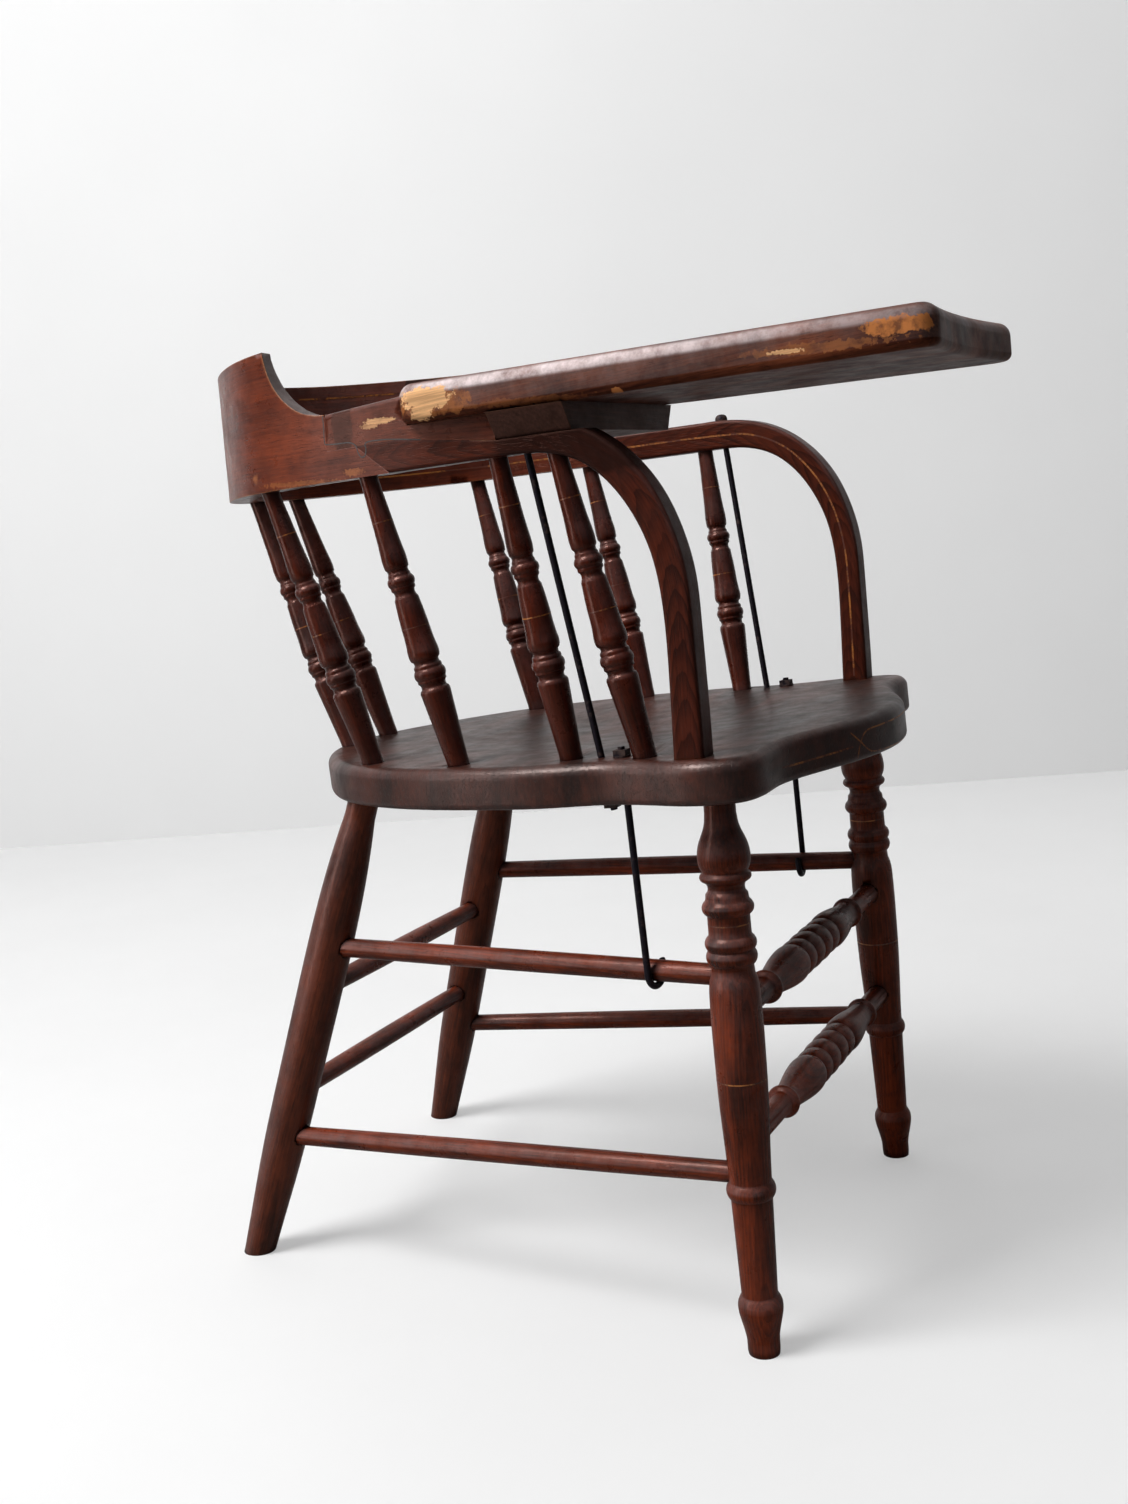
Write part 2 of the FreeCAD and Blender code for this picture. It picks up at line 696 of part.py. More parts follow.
def tablet():
    """Writing tablet, its edges rounded over."""
    corners = [Vector(-tablet_outer_side, tablet_outer_rear, 0),
               Vector(-tablet_outer_side, -tablet_outer_front, 0),
               Vector(tablet_inner_side, -tablet_outer_front, 0),
               Vector(-tablet_waist_side, -tablet_waist_front, 0),
               Vector(-tablet_rear_inner_side, tablet_outer_rear, 0)]
    rounds = (tablet_corner_round, tablet_corner_round, tablet_inner_corner_round, tablet_waist_round,
              tablet_inner_corner_round)
    hollow = (corners[1] + corners[2]) / 2 + Vector(0, tablet_front_hollow, 0)
    edges = [edge_through([corners[0], corners[1]]), edge_through([corners[1], hollow, corners[2]])]
    edges += [edge_through([corners[2], corners[3]]), edge_through([corners[3], corners[4]])]
    edges.append(edge_through([corners[4], corners[0]]))
    board = Part.Face(Part.Wire(edges)).extrude(UP * tablet_thickness)
    for corner, size in zip(corners, rounds):
        upright = [edge for edge in board.Edges
                   if edge.BoundBox.ZLength > tablet_thickness / 2
                   and flat_distance(edge.BoundBox.Center, corner) < same_place_tolerance]
        board = board.makeFillet(size, upright)
    top = [edge for edge in board.Edges if edge.BoundBox.ZMin > tablet_thickness / 2]
    board = board.makeFillet(tablet_top_round, top)
    under = [edge for edge in board.Edges if edge.BoundBox.ZMax < tablet_under_round / 2]
    board = board.makeFillet(tablet_under_round, under)
    board.Placement = Placement(Vector(0, 0, tablet_under_height), Rotation(ACROSS, -tablet_slope_deg))
    return board


def cleat():
    """Cleat across the right arm, its ends undercut."""
    points = [(-cleat_outer_side, 0), (-cleat_inner_side, 0),
              (-cleat_inner_side - cleat_inner_undercut, -cleat_depth),
              (-cleat_outer_side + cleat_undercut, -cleat_depth)]
    corners = [Vector(side, -cleat_front, tablet_under(-cleat_front) + height)
               for side, height in points]
    way = Vector(0, cleat_rear + cleat_front, tablet_under(cleat_rear) - tablet_under(-cleat_front))
    return Part.Face(Part.makePolygon(corners + corners[:1])).extrude(way)


# Spindles

def spindle_line(number, side):
    """Foot and head of one of a side's four spindles."""
    share, rear = SPINDLE_FOOT_SHARES[number]
    foot = Vector(side * share * seat_half_width, rear * seat_rear_reach, 0)
    foot.z = seat_top(foot.y)
    return foot, rail_point(head_distances()[number], side)


def support_line():
    """Foot and head of the extra spindle below the tablet."""
    foot = Vector(-seat_half_width * support_foot_side_share, -support_foot_front, 0)
    foot.z = seat_top(foot.y)
    head = Vector(-rail_half_width, -support_head_front, rail_under(-support_head_front))
    return foot, head


def spindle(line):
    """Turned spindle with a tenon at each end."""
    length = (line[1] - line[0]).Length
    piece = turned(SPINDLE_SHARES, length, spindle_radius, spindle_tenon_length, spindle_tenon_length)
    return set_along(piece, line[0], line[1])


def spindle_sockets(line):
    """Sockets for the two ends of a spindle."""
    depth = spindle_tenon_length + socket_depth_clearance
    foot_radius = SPINDLE_SHARES[0][0][1] * spindle_radius + socket_clearance
    head_radius = SPINDLE_SHARES[-1][-1][1] * spindle_radius + socket_clearance
    foot = round_bar(drawn_on(line[1], line[0], depth), drawn_on(line[1], line[0], -depth / 2),
                     foot_radius)
    head = round_bar(drawn_on(line[0], line[1], -depth / 2), drawn_on(line[0], line[1], depth),
                     head_radius)
    return foot, head


# Iron work

def rod_line(side):
    """Axis of an arm rod, from the arm's top down through the seat."""
    beside = rail_point(head_distances()[-1], side).y - rod_head_gap
    head = Vector(side * (rail_half_width - rod_head_inside), beside, rail_under(beside))
    foot = Vector(side * seat_half_width * rod_seat_side_share, -rod_seat_front, 0)
    foot.z = seat_top(foot.y)
    top_plane = cleat_under if side == RIGHT else rail_top
    return reach_plane(foot, head, top_plane), reach_plane(foot, head, seat_under)


def hook_line(side):
    """Axis of a hooked rod, from the seat's top to beside the upper side stretcher."""
    upper = side_lines(side)[0]
    along = (upper[1] - upper[0]).normalize()
    share = (upper[0].y + hook_front) / (upper[0].y - upper[1].y)
    centre = upper[0] + (upper[1] - upper[0]) * share
    out = (ACROSS * side - along * along.dot(ACROSS * side)).normalize()
    reach = stretcher_radius + rod_radius + hook_clearance
    head = Vector(side * seat_half_width * hook_rod_seat_side_share, -hook_rod_seat_front, 0)
    head.z = seat_top(head.y)
    return head, centre + out * reach, out, reach


def hook_rod(side):
    """Rod from the nut on the seat to a hook round the upper side stretcher."""
    head, beside, out, reach = hook_line(side)
    shank = round_bar(beside, hook_rod_top(side), rod_radius)
    down = (beside - head).normalize()
    square_out = (out - down * down.dot(out)).normalize()
    ring = Part.Face(Part.Wire(Part.makeCircle(rod_radius, beside, down)))
    hook = ring.revolve(beside - square_out * reach, square_out.cross(down), hook_turn_deg)
    return shank.fuse(hook).removeSplitter()


def hook_rod_top(side):
    """Upper end of a hooked rod, above its nut."""
    head, beside = hook_line(side)[:2]
    return drawn_on(beside, head, nut_thickness + washer_thickness + rod_stand_out)


def arm_rod_foot(side):
    """Lower end of an arm rod, below its nut."""
    top, foot = rod_line(side)
    return drawn_on(top, foot, nut_thickness + washer_thickness + rod_stand_out)


def arm_rod_top(side):
    """Upper end of an arm rod, inside its cap nut."""
    top, foot = rod_line(side)
    return drawn_on(foot, top, cap_nut_height / 2)


def flat_on(shape, place, slope_deg, rise):
    """The shape turned onto a sloping face and lifted off it by the rise."""
    turn = Rotation(ACROSS, -slope_deg)
    shape.Placement = Placement(place + turn.multVec(UP) * rise, turn)
    return shape


def seat_iron(side):
    """Washers and square nuts above and below the seat, bored for their rods."""
    head, beside = hook_line(side)[:2]
    foot = rod_line(side)[1]
    washers, nuts = [], []
    for place, line, rise in ((head, (beside, hook_rod_top(side)), 0),
                              (foot, (rod_line(side)[0], arm_rod_foot(side)),
                               -washer_thickness - nut_thickness)):
        bore = round_bar(line[0], drawn_on(line[0], line[1], nut_thickness),
                         rod_radius + socket_clearance)
        washer_rise = rise if rise == 0 else -washer_thickness
        nut_rise = washer_thickness if rise == 0 else rise
        washer = flat_on(Part.makeCylinder(washer_radius, washer_thickness), place,
                         seat_slope_deg, washer_rise)
        nut = Part.makeBox(nut_width, nut_width, nut_thickness, -Vector(nut_width, nut_width, 0) / 2)
        nut = flat_on(nut, place, seat_slope_deg, nut_rise)
        washers.append(washer.cut(bore))
        nuts.append(nut.cut(bore))
    return washers, nuts


def cap_nut(side):
    """Domed nut on the arm, over the end of the rod."""
    dome = turned(CAP_NUT_SHARES, cap_nut_height, cap_nut_radius)
    nut = flat_on(dome, rod_line(side)[0], rail_slope_deg, 0)
    foot = rod_line(side)[1]
    end = drawn_on(foot, arm_rod_top(side), socket_depth_clearance)
    return nut.cut(round_bar(foot, end, rod_radius + socket_clearance))


# The whole chair

def build_legs(pieces):
    """The four legs, bored for their stretchers, and the eight stretchers."""
    lines = {}
    for side, name in ((RIGHT, "right"), (LEFT, "left")):
        upper, lower = side_lines(side)
        lines["side_stretcher_upper_" + name] = upper
        lines["side_stretcher_lower_" + name] = lower
    lines["rear_stretcher_upper"] = cross_line(rear_leg_axis, rear_upper_height)
    lines["rear_stretcher_lower"] = cross_line(rear_leg_axis, rear_lower_height)
    dowel_socket_radius = DOWEL_SHARES[0][0][1] * stretcher_radius
    sockets = [stretcher_socket(near, far, dowel_socket_radius) for near, far in lines.values()]
    for name, (near, far) in lines.items():
        pieces[name] = stretcher(DOWEL_SHARES, near, far, stretcher_radius)
    for name, height, shift in (("upper", front_upper_height, front_upper_shift_share),
                                ("lower", front_lower_height, front_lower_shift_share)):
        runs = front_stretcher_runs(shift)
        near, far = cross_line(front_leg_axis, height)
        pieces["front_stretcher_" + name] = stretcher(runs, near, far, front_stretcher_radius)
        sockets.append(stretcher_socket(near, far, runs[0][0][1] * front_stretcher_radius))
    for side, name in ((RIGHT, "right"), (LEFT, "left")):
        front = leg(FRONT_LEG_SHARES, front_leg_axis(side), front_leg_radius)
        rear = leg(REAR_LEG_SHARES, rear_leg_axis(side), rear_leg_radius)
        pieces["front_leg_" + name] = front.cut(sockets)
        pieces["rear_leg_" + name] = rear.cut(sockets)


def spindle_lines():
    """Names and lines of all nine spindles."""
    lines = {}
    for side, name in ((RIGHT, "right"), (LEFT, "left")):
        for number, place in enumerate(SPINDLE_PLACES):
            lines["spindle_" + name + "_" + place] = spindle_line(number, side)
    lines["spindle_tablet_support"] = support_line()
    return lines


def leg_socket(runs, axis, radius):
    """Socket in the seat for a leg's tenon."""
    end = drawn_on(axis[0], leg_tenon_end(axis), socket_depth_clearance)
    start = point_on_leg(axis, axis[1].z - radius)
    return round_bar(start, end, runs[-1][-1][1] * radius + socket_clearance)


def main():
    """Builds every piece and writes one STEP file for each."""
    pieces = {}
    build_legs(pieces)
    foot_sockets, head_sockets = [], []
    for name, line in spindle_lines().items():
        pieces[name] = spindle(line)
        foot, head = spindle_sockets(line)
        foot_sockets.append(foot)
        head_sockets.append(head)
    washers, nuts, cap_nuts = [], [], []
    rod_bores = []
    bore_radius = rod_radius + socket_clearance
    for side, name in ((RIGHT, "right"), (LEFT, "left")):
        foot_sockets.append(leg_socket(FRONT_LEG_SHARES, front_leg_axis(side), front_leg_radius))
        foot_sockets.append(leg_socket(REAR_LEG_SHARES, rear_leg_axis(side), rear_leg_radius))
        foot_sockets.append(arm_tenon(side, socket_clearance, arm_tenon_length + socket_depth_clearance))
        pieces["arm_rod_" + name] = round_bar(arm_rod_foot(side), arm_rod_top(side), rod_radius)
        pieces["hook_rod_" + name] = hook_rod(side)
        rod_bores.append(round_bar(arm_rod_foot(side), arm_rod_top(side), bore_radius))
        rod_bores.append(round_bar(hook_line(side)[1], hook_rod_top(side), bore_radius))
        side_washers, side_nuts = seat_iron(side)
        washers += side_washers
        nuts += side_nuts
        cap_nuts.append(cap_nut(side))
    pieces["seat_washers"] = Part.makeCompound(washers)
    pieces["seat_nuts"] = Part.makeCompound(nuts)
    pieces["cap_nuts"] = Part.makeCompound(cap_nuts)
    names = ("seat_board_rear", "seat_board_middle", "seat_board_front")
    for name, board in zip(names, seat_boards(foot_sockets + rod_bores)):
        pieces[name] = board
    band = rail_band(rail_thickness)
    pieces["arm_left"] = arm(LEFT, band).cut(head_sockets + rod_bores)
    pieces["arm_right"] = arm(RIGHT, band).cut([planed_off()] + head_sockets + rod_bores)
    pieces["crest"] = crest(band).cut([planed_off()] + head_sockets)
    pieces["arm_filler"] = filler(band)
    rod_top, rod_foot = rod_line(RIGHT)
    pocket_end = drawn_on(rod_foot, rod_top, cap_nut_height + cap_nut_clearance)
    pocket = round_bar(rod_foot, pocket_end, cap_nut_radius + cap_nut_clearance)
    pieces["tablet_cleat"] = cleat().cut(pocket)
    pieces["writing_tablet"] = tablet()
    box = Part.makeCompound(list(pieces.values())).optimalBoundingBox(False, False)
    middle = Vector(box.Center.x, box.Center.y, 0)
    os.makedirs("parts", exist_ok=True)
    for name, shape in pieces.items():
        shape.translate(-middle)
        shape.exportStep("parts/" + name + ".step")
    print("moved by", -middle, "lowest", box.ZMin)


if __name__ == "__main__":
    main()
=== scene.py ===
import logging
import math
from collections.abc import Callable
from dataclasses import dataclass
from enum import Enum
from typing import NamedTuple

import bmesh
import bpy
import numpy as np
from mathutils import Matrix, Vector
from mathutils.bvhtree import BVHTree
from mathutils.kdtree import KDTree


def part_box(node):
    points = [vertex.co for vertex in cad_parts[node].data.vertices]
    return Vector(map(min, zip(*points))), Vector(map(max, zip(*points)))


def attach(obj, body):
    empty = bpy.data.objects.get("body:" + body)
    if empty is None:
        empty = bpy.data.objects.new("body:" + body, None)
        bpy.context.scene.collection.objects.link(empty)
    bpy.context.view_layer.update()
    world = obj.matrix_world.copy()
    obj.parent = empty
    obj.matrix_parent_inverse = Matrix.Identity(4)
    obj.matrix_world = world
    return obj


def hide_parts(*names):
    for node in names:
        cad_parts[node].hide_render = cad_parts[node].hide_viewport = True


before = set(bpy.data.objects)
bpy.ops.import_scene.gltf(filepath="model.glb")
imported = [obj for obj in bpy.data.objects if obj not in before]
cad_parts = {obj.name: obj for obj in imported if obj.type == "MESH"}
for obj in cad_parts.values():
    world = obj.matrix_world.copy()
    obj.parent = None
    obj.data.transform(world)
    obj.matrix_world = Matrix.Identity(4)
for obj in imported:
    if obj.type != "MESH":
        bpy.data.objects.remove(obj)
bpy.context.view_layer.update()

log = logging.getLogger("windsor_chair")

# Metres. +Z is up, the chair faces -Y, the tablet is over the sitter's right arm, at -X.
BODY = "root"
CHAIR_SHIFT = Vector((0.00059, -0.04188, 0.0))
SEAT_HEIGHT = 0.438
RAIL_UNDER = 0.658
RAIL_SLOPE = math.tan(math.radians(3.1))
RAIL_DEPTH = 0.0255
RAIL_THICKNESS = 0.022
RAIL_HALF_WIDTH = 0.206
RAIL_REAR_REACH = 0.363
RAIL_FRONT_REACH = 0.135
CREST_DEPTH = 0.1
PLAN_POINTS = 240
STRIPE_WIDTH = 0.0015
PAINT_LIFT = 0.00012
SAME_PLACE = 2e-6
LEFTWARD = Vector((1.0, 0.0, 0.0))
REARWARD = Vector((0.0, 1.0, 0.0))
UP = Vector((0.0, 0.0, 1.0))

RAIL_PLAN = (
    (0.0, 1.0), (0.165, 0.988), (0.335, 0.949), (0.533, 0.871), (0.69, 0.785), (0.825, 0.678),
    (0.902, 0.545), (0.958, 0.36), (0.992, 0.15), (1.0, 0.0),
)
ARM_OUTER = (
    (1.0, 0.0), (0.9875, 0.255), (0.975, 0.42), (0.96, 0.53), (0.892, 0.669), (0.78, 0.787),
    (0.667, 0.86), (0.55, 0.913), (0.4, 0.96), (0.225, 0.992), (0.03, 1.006),
)
ARM_INNER = (
    (0.8125, 0.0), (0.8125, 0.255), (0.794, 0.48), (0.742, 0.612), (0.65, 0.715), (0.508, 0.809),
    (0.392, 0.856), (0.25, 0.888), (0.08, 0.902),
)
ARM_BEND_REACH = 0.12
ARM_BEND_RISE = 0.2435

Socket = bpy.types.NodeSocket
Sockets = bpy.types.bpy_prop_collection
Feed = bpy.types.NodeSocket | float | tuple | str | None
Colour = tuple[float, float, float, float]
Place = tuple[float, float, float]


class Side(Enum):
    """The sitter's right or left hand."""

    RIGHT = -1
    LEFT = 1

    @property
    def word(self) -> str:
        """The side as piece names write it."""
        return self.name.lower()


def moved(x: float, y: float, z: float) -> Vector:
    """A point of the chair, from under the middle of the arms, in the row's frame."""
    return Vector((x, y, z)) + CHAIR_SHIFT


def rail_under(y: float) -> float:
    """Height of the rail's underside at y, before the shift."""
    return RAIL_UNDER - y * RAIL_SLOPE


def smooth_line(points: list[Vector], count: int, steps: int = 16) -> list[Vector]:
    """Resamples a run of points on a smooth curve through them.

    Args:
        points: the points that the curve goes through.
        count: how many evenly spaced points to give back.
        steps: how finely the curve is measured between two of its points.

    Returns:
        The points of the curve.
    """
    fine: list[Vector] = []
    ext = [points[0] * 2 - points[1]] + points + [points[-1] * 2 - points[-2]]
    for a, b, c, d in zip(ext, ext[1:], ext[2:], ext[3:]):
        for step in range(steps):
            t = step / steps
            fine.append(0.5 * ((2 * b) + (c - a) * t + (2 * a - 5 * b + 4 * c - d) * t * t
                               + (3 * b - a - 3 * c + d) * t * t * t))
    fine.append(points[-1].copy())
    runs = [0.0]
    for p, q in zip(fine, fine[1:]):
        runs.append(runs[-1] + (q - p).length)
    out = []
    at = 0
    for step in range(count):
        want = runs[-1] * step / (count - 1)
        while at < len(runs) - 2 and runs[at + 1] < want:
            at += 1
        share = (want - runs[at]) / max(runs[at + 1] - runs[at], 1e-9)
        out.append(fine[at].lerp(fine[at + 1], min(max(share, 0.0), 1.0)))
    return out


# Shader building

class Graph:
    """Short ways to place and join nodes in one node tree."""

    def __init__(self, tree: bpy.types.NodeTree) -> None:
        """Keeps the tree."""
        self.tree = tree

    def node(self, kind: str, settings: dict | None = None, **inputs: Feed) -> bpy.types.Node:
        """Places a node.

        Args:
            kind: the node's type.
            settings: attributes of the node.
            inputs: values or sockets for its inputs; an underscore stands for a space.

        Returns:
            The node.
        """
        made = self.tree.nodes.new(kind)
        for key, value in (settings or {}).items():
            setattr(made, key, value)
        for key, value in inputs.items():
            self.feed(made.inputs[key.replace("_", " ")], value)
        return made

    def feed(self, socket: Socket, value: Feed) -> None:
        """Links a socket to the input, or sets the input's value."""
        if isinstance(value, Socket):
            self.tree.links.new(value, socket)
        elif value is not None:
            socket.default_value = value

    def math(self, operation: str, first: Feed, second: Feed = None,
             clamp: bool = False) -> Socket:
        """Output of a Math node on one or two values."""
        made = self.node("ShaderNodeMath", {"operation": operation, "use_clamp": clamp})
        self.feed(made.inputs[0], first)
        self.feed(made.inputs[1], second)
        return made.outputs[0]

    def times(self, first: Feed, second: Feed) -> Socket:
        """Product of two values."""
        return self.math("MULTIPLY", first, second)

    def plus(self, first: Feed, second: Feed) -> Socket:
        """Sum of two values."""
        return self.math("ADD", first, second)

    def minus(self, first: Feed, second: Feed) -> Socket:
        """The first value less the second."""
        return self.math("SUBTRACT", first, second)

    def vector(self, operation: str, first: Feed, second: Feed = None) -> Socket:
        """Output of a Vector Math node: a number where the operation gives one."""
        made = self.node("ShaderNodeVectorMath", {"operation": operation})
        self.feed(made.inputs[0], first)
        self.feed(made.inputs[1], second)
        return made.outputs["Value" if operation in ("LENGTH", "DOT_PRODUCT") else "Vector"]

    def axes(self, vector: Feed) -> Sockets:
        """X, Y and Z of a vector."""
        return self.node("ShaderNodeSeparateXYZ", None, Vector=vector).outputs

    def object_place(self) -> Socket:
        """Object coordinates, which are the frame's own on every piece."""
        return self.node("ShaderNodeTexCoord").outputs["Object"]

    def noise(self, place: Feed, scale: Feed, detail: float = 2.0,
              roughness: float = 0.5) -> Socket:
        """Factor of a noise texture."""
        return self.node("ShaderNodeTexNoise", None, Vector=place, Scale=scale, Detail=detail,
                         Roughness=roughness).outputs["Fac"]

    def span(self, value: Feed, low: float, high: float, to_low: float = 0.0,
             to_high: float = 1.0) -> Socket:
        """Clamped Map Range of a value."""
        return self.node("ShaderNodeMapRange", {"clamp": True}, Value=value, From_Min=low,
                         From_Max=high, To_Min=to_low, To_Max=to_high).outputs["Result"]

    def inside(self, place: Feed, low: tuple, high: tuple) -> Socket:
        """Mask of the places inside a box.

        Args:
            place: the places.
            low: the box's low corner, where None leaves a side open.
            high: its high corner, with None the same.

        Returns:
            One inside the box and nothing outside.
        """
        parts = self.axes(place)
        mask = None
        for axis in range(3):
            for test, limit in (("GREATER_THAN", low[axis]), ("LESS_THAN", high[axis])):
                if limit is not None:
                    one = self.math(test, parts[axis], limit)
                    mask = one if mask is None else self.times(mask, one)
        return mask

    def mix(self, share: Feed, first: Feed, second: Feed, kind: str = "RGBA") -> Socket:
        """Mix of two colours, RGBA tuples or sockets, or of two vectors."""
        made = self.node("ShaderNodeMix", {"data_type": kind})
        at, to = {"RGBA": (6, 2), "VECTOR": (4, 1)}[kind]
        self.feed(made.inputs[0], share)
        self.feed(made.inputs[at], first)
        self.feed(made.inputs[at + 1], second)
        return made.outputs[to]

    def grey(self, value: Feed) -> Socket:
        """The grey of one value."""
        return self.node("ShaderNodeCombineColor", None, Red=value, Green=value,
                         Blue=value).outputs[0]

    def show(self, shader: bpy.types.Node) -> None:
        """Joins a shader to the material's output."""
        self.feed(self.node("ShaderNodeOutputMaterial").inputs[0], shader.outputs[0])


def new_material(name: str) -> tuple[bpy.types.Material, Graph]:
    """A new material, and its empty graph to fill."""
    made = bpy.data.materials.new(name)
    made.use_nodes = True
    made.node_tree.nodes.clear()
    return made, Graph(made.node_tree)


class EffectGroup:
    """One shader node group that several materials share."""

    def __init__(self, name: str, inputs: dict, outputs: dict) -> None:
        """Makes the group with its sockets.

        Args:
            name: the group's name.
            inputs: socket name to (socket type, default value or None).
            outputs: socket name to socket type.
        """
        self.tree = bpy.data.node_groups.new(name, "ShaderNodeTree")
        for key, (kind, value) in inputs.items():
            made = self.tree.interface.new_socket(key, in_out="INPUT", socket_type=kind)
            if value is not None:
                made.default_value = value
        for key, kind in outputs.items():
            self.tree.interface.new_socket(key, in_out="OUTPUT", socket_type=kind)
        self.graph = Graph(self.tree)
        self.enter = self.graph.node("NodeGroupInput").outputs
        self.leave = self.graph.node("NodeGroupOutput").inputs

    def put(self, key: str, value: Feed) -> None:
        """Joins a value to one of the group's outputs."""
        self.graph.feed(self.leave[key], value)

    def place(self, graph: Graph, **inputs: Feed) -> Sockets:
        """Places the group in a material with its own values, and gives its outputs."""
        return graph.node("ShaderNodeGroup", {"node_tree": self.tree}, **inputs).outputs


FLOAT = "NodeSocketFloat"
VECTOR = "NodeSocketVector"


def grain_group() -> EffectGroup:
    """Growth rings, fibres and pores along the z of Place, with the log's heart at its origin."""
    group = EffectGroup(
        "wood grain",
        {"Place": (VECTOR, None), "Rings": (FLOAT, 500.0), "Drift": (FLOAT, 0.08),
         "Wander": (FLOAT, 0.004)},
        {"Figure": FLOAT, "Fibre": FLOAT, "Pore": FLOAT, "Cloud": FLOAT},
    )
    g, enter = group.graph, group.enter

    def streaks(along: float, scale: float, detail: float, roughness: float) -> Socket:
        """Noise drawn out along the grain: the lower the share along it, the longer."""
        drawn = g.vector("MULTIPLY", enter["Place"], (1.0, 1.0, along))
        return g.noise(drawn, scale, detail, roughness)

    radius = g.plus(g.vector("LENGTH", g.vector("MULTIPLY", enter["Place"], (1.0, 1.0, 0.0))),
                    g.times(g.axes(enter["Place"])["Z"], enter["Drift"]))
    radius = g.plus(radius, g.times(streaks(0.2, 26.0, 3.0, 0.55), enter["Wander"]))
    turn = g.plus(g.times(radius, enter["Rings"]),
                  g.times(streaks(0.1, 190.0, 2.0, 0.5), 0.55))
    phase = g.math("FRACT", turn)
    each = g.node("ShaderNodeTexWhiteNoise", {"noise_dimensions": "1D"},
                  W=g.math("FLOOR", turn)).outputs["Value"]
    late = g.times(g.span(phase, 0.25, 0.9), g.span(phase, 1.0, 0.93))
    group.put("Figure", g.times(late, g.span(each, 0.0, 1.0, 0.35, 1.0)))
    group.put("Fibre", streaks(0.03, 620.0, 4.0, 0.65))
    group.put("Pore", g.span(streaks(0.07, 1500.0, 1.0, 0.5), 0.6, 0.7))
    group.put("Cloud", streaks(0.35, 34.0, 4.0, 0.6))
    return group


def wear_group() -> EffectGroup:
    """Masks of edges, rims, grooves darkened with dirt and painted shade, and upper rounds paled
    with dust and painted sheen, and a normal with softened edges.
    """
    group = EffectGroup(
        "edge wear",
        {"Place": (VECTOR, None), "Round": (FLOAT, 0.002), "Reach": (FLOAT, 0.005),
         "Ragged": (FLOAT, 0.5)},
        {"Edge": FLOAT, "Rim": FLOAT, "Groove": FLOAT, "Haze": FLOAT, "Normal": VECTOR},
    )
    g, enter = group.graph, group.enter
    soft = g.node("ShaderNodeBevel", {"samples": 4}, Radius=enter["Round"]).outputs["Normal"]
    inner = g.node("ShaderNodeAmbientOcclusion", {"inside": True, "samples": 5, "only_local": True},
                   Distance=enter["Reach"]).outputs["AO"]
    outer = g.node("ShaderNodeAmbientOcclusion", {"samples": 5},
                   Distance=g.times(enter["Reach"], 2.2)).outputs["AO"]
    short_noise = g.noise(enter["Place"], 110.0, 5.0, 0.7)
    long_noise = g.noise(enter["Place"], 42.0, 5.0, 0.75)
    edge = g.minus(1.0, inner)
    ragged = g.times(g.minus(short_noise, 0.5), enter["Ragged"])
    group.put("Edge", g.span(g.plus(edge, ragged), 0.38, 0.56))
    true = g.node("ShaderNodeNewGeometry").outputs["True Normal"]
    rim = g.span(g.minus(1.0, g.vector("DOT_PRODUCT", soft, true)), 0.09, 0.2)
    for share in (g.span(edge, 0.25, 0.4), g.span(outer, 0.75, 0.9),
                  g.span(long_noise, 0.42, 0.56)):
        rim = g.times(rim, share)
    group.put("Rim", rim)
    # Pale film on the upper rounds of edges: dust, and a painted sheen where the light would gleam.
    rise = g.axes(soft)["Z"]
    slanted = g.times(g.span(rise, -0.02, 0.2), g.span(rise, 0.72, 0.96, 1.0, 0.03))
    group.put("Haze", g.times(slanted, g.span(long_noise, 0.32, 0.62, 0.3, 1.0)))
    # Darkening where other surfaces are near: dirt in grooves and painted shade between parts.
    group.put("Groove", g.span(outer, 0.9, 0.35))
    group.put("Normal", soft)
    return group


def patch_group() -> EffectGroup:
    """Mask of one ragged patch round a point of the chair: bare wood, a stain, a scuff or a painted
    shadow.
    """
    group = EffectGroup(
        "ragged patch",
        {"Place": (VECTOR, None), "Centre": (VECTOR, (0.0, 0.0, 0.0)),
         "Reach": (VECTOR, (0.01, 0.01, 0.01)), "Ragged": (FLOAT, 0.8), "Fine": (FLOAT, 220.0)},
        {"Mask": FLOAT},
    )
    g, enter = group.graph, group.enter
    near = g.vector("DIVIDE", g.vector("SUBTRACT", enter["Place"], enter["Centre"]),
                    enter["Reach"])
    push = g.times(g.minus(g.noise(enter["Place"], enter["Fine"], 4.0, 0.62), 0.5),
                   enter["Ragged"])
    group.put("Mask", g.span(g.plus(g.vector("LENGTH", near), push), 1.0, 0.86))
    return group


GRAIN = grain_group()
WEAR = wear_group()
PATCH = patch_group()


@dataclass(frozen=True)
class BarePatch:
    """A bare, stained or scuffed place, or a painted shadow, by its middle and reach in metres."""

    centre: Place
    reach: Place
    ragged: float = 0.8
    strength: float = 1.0
    fine: float = 220.0


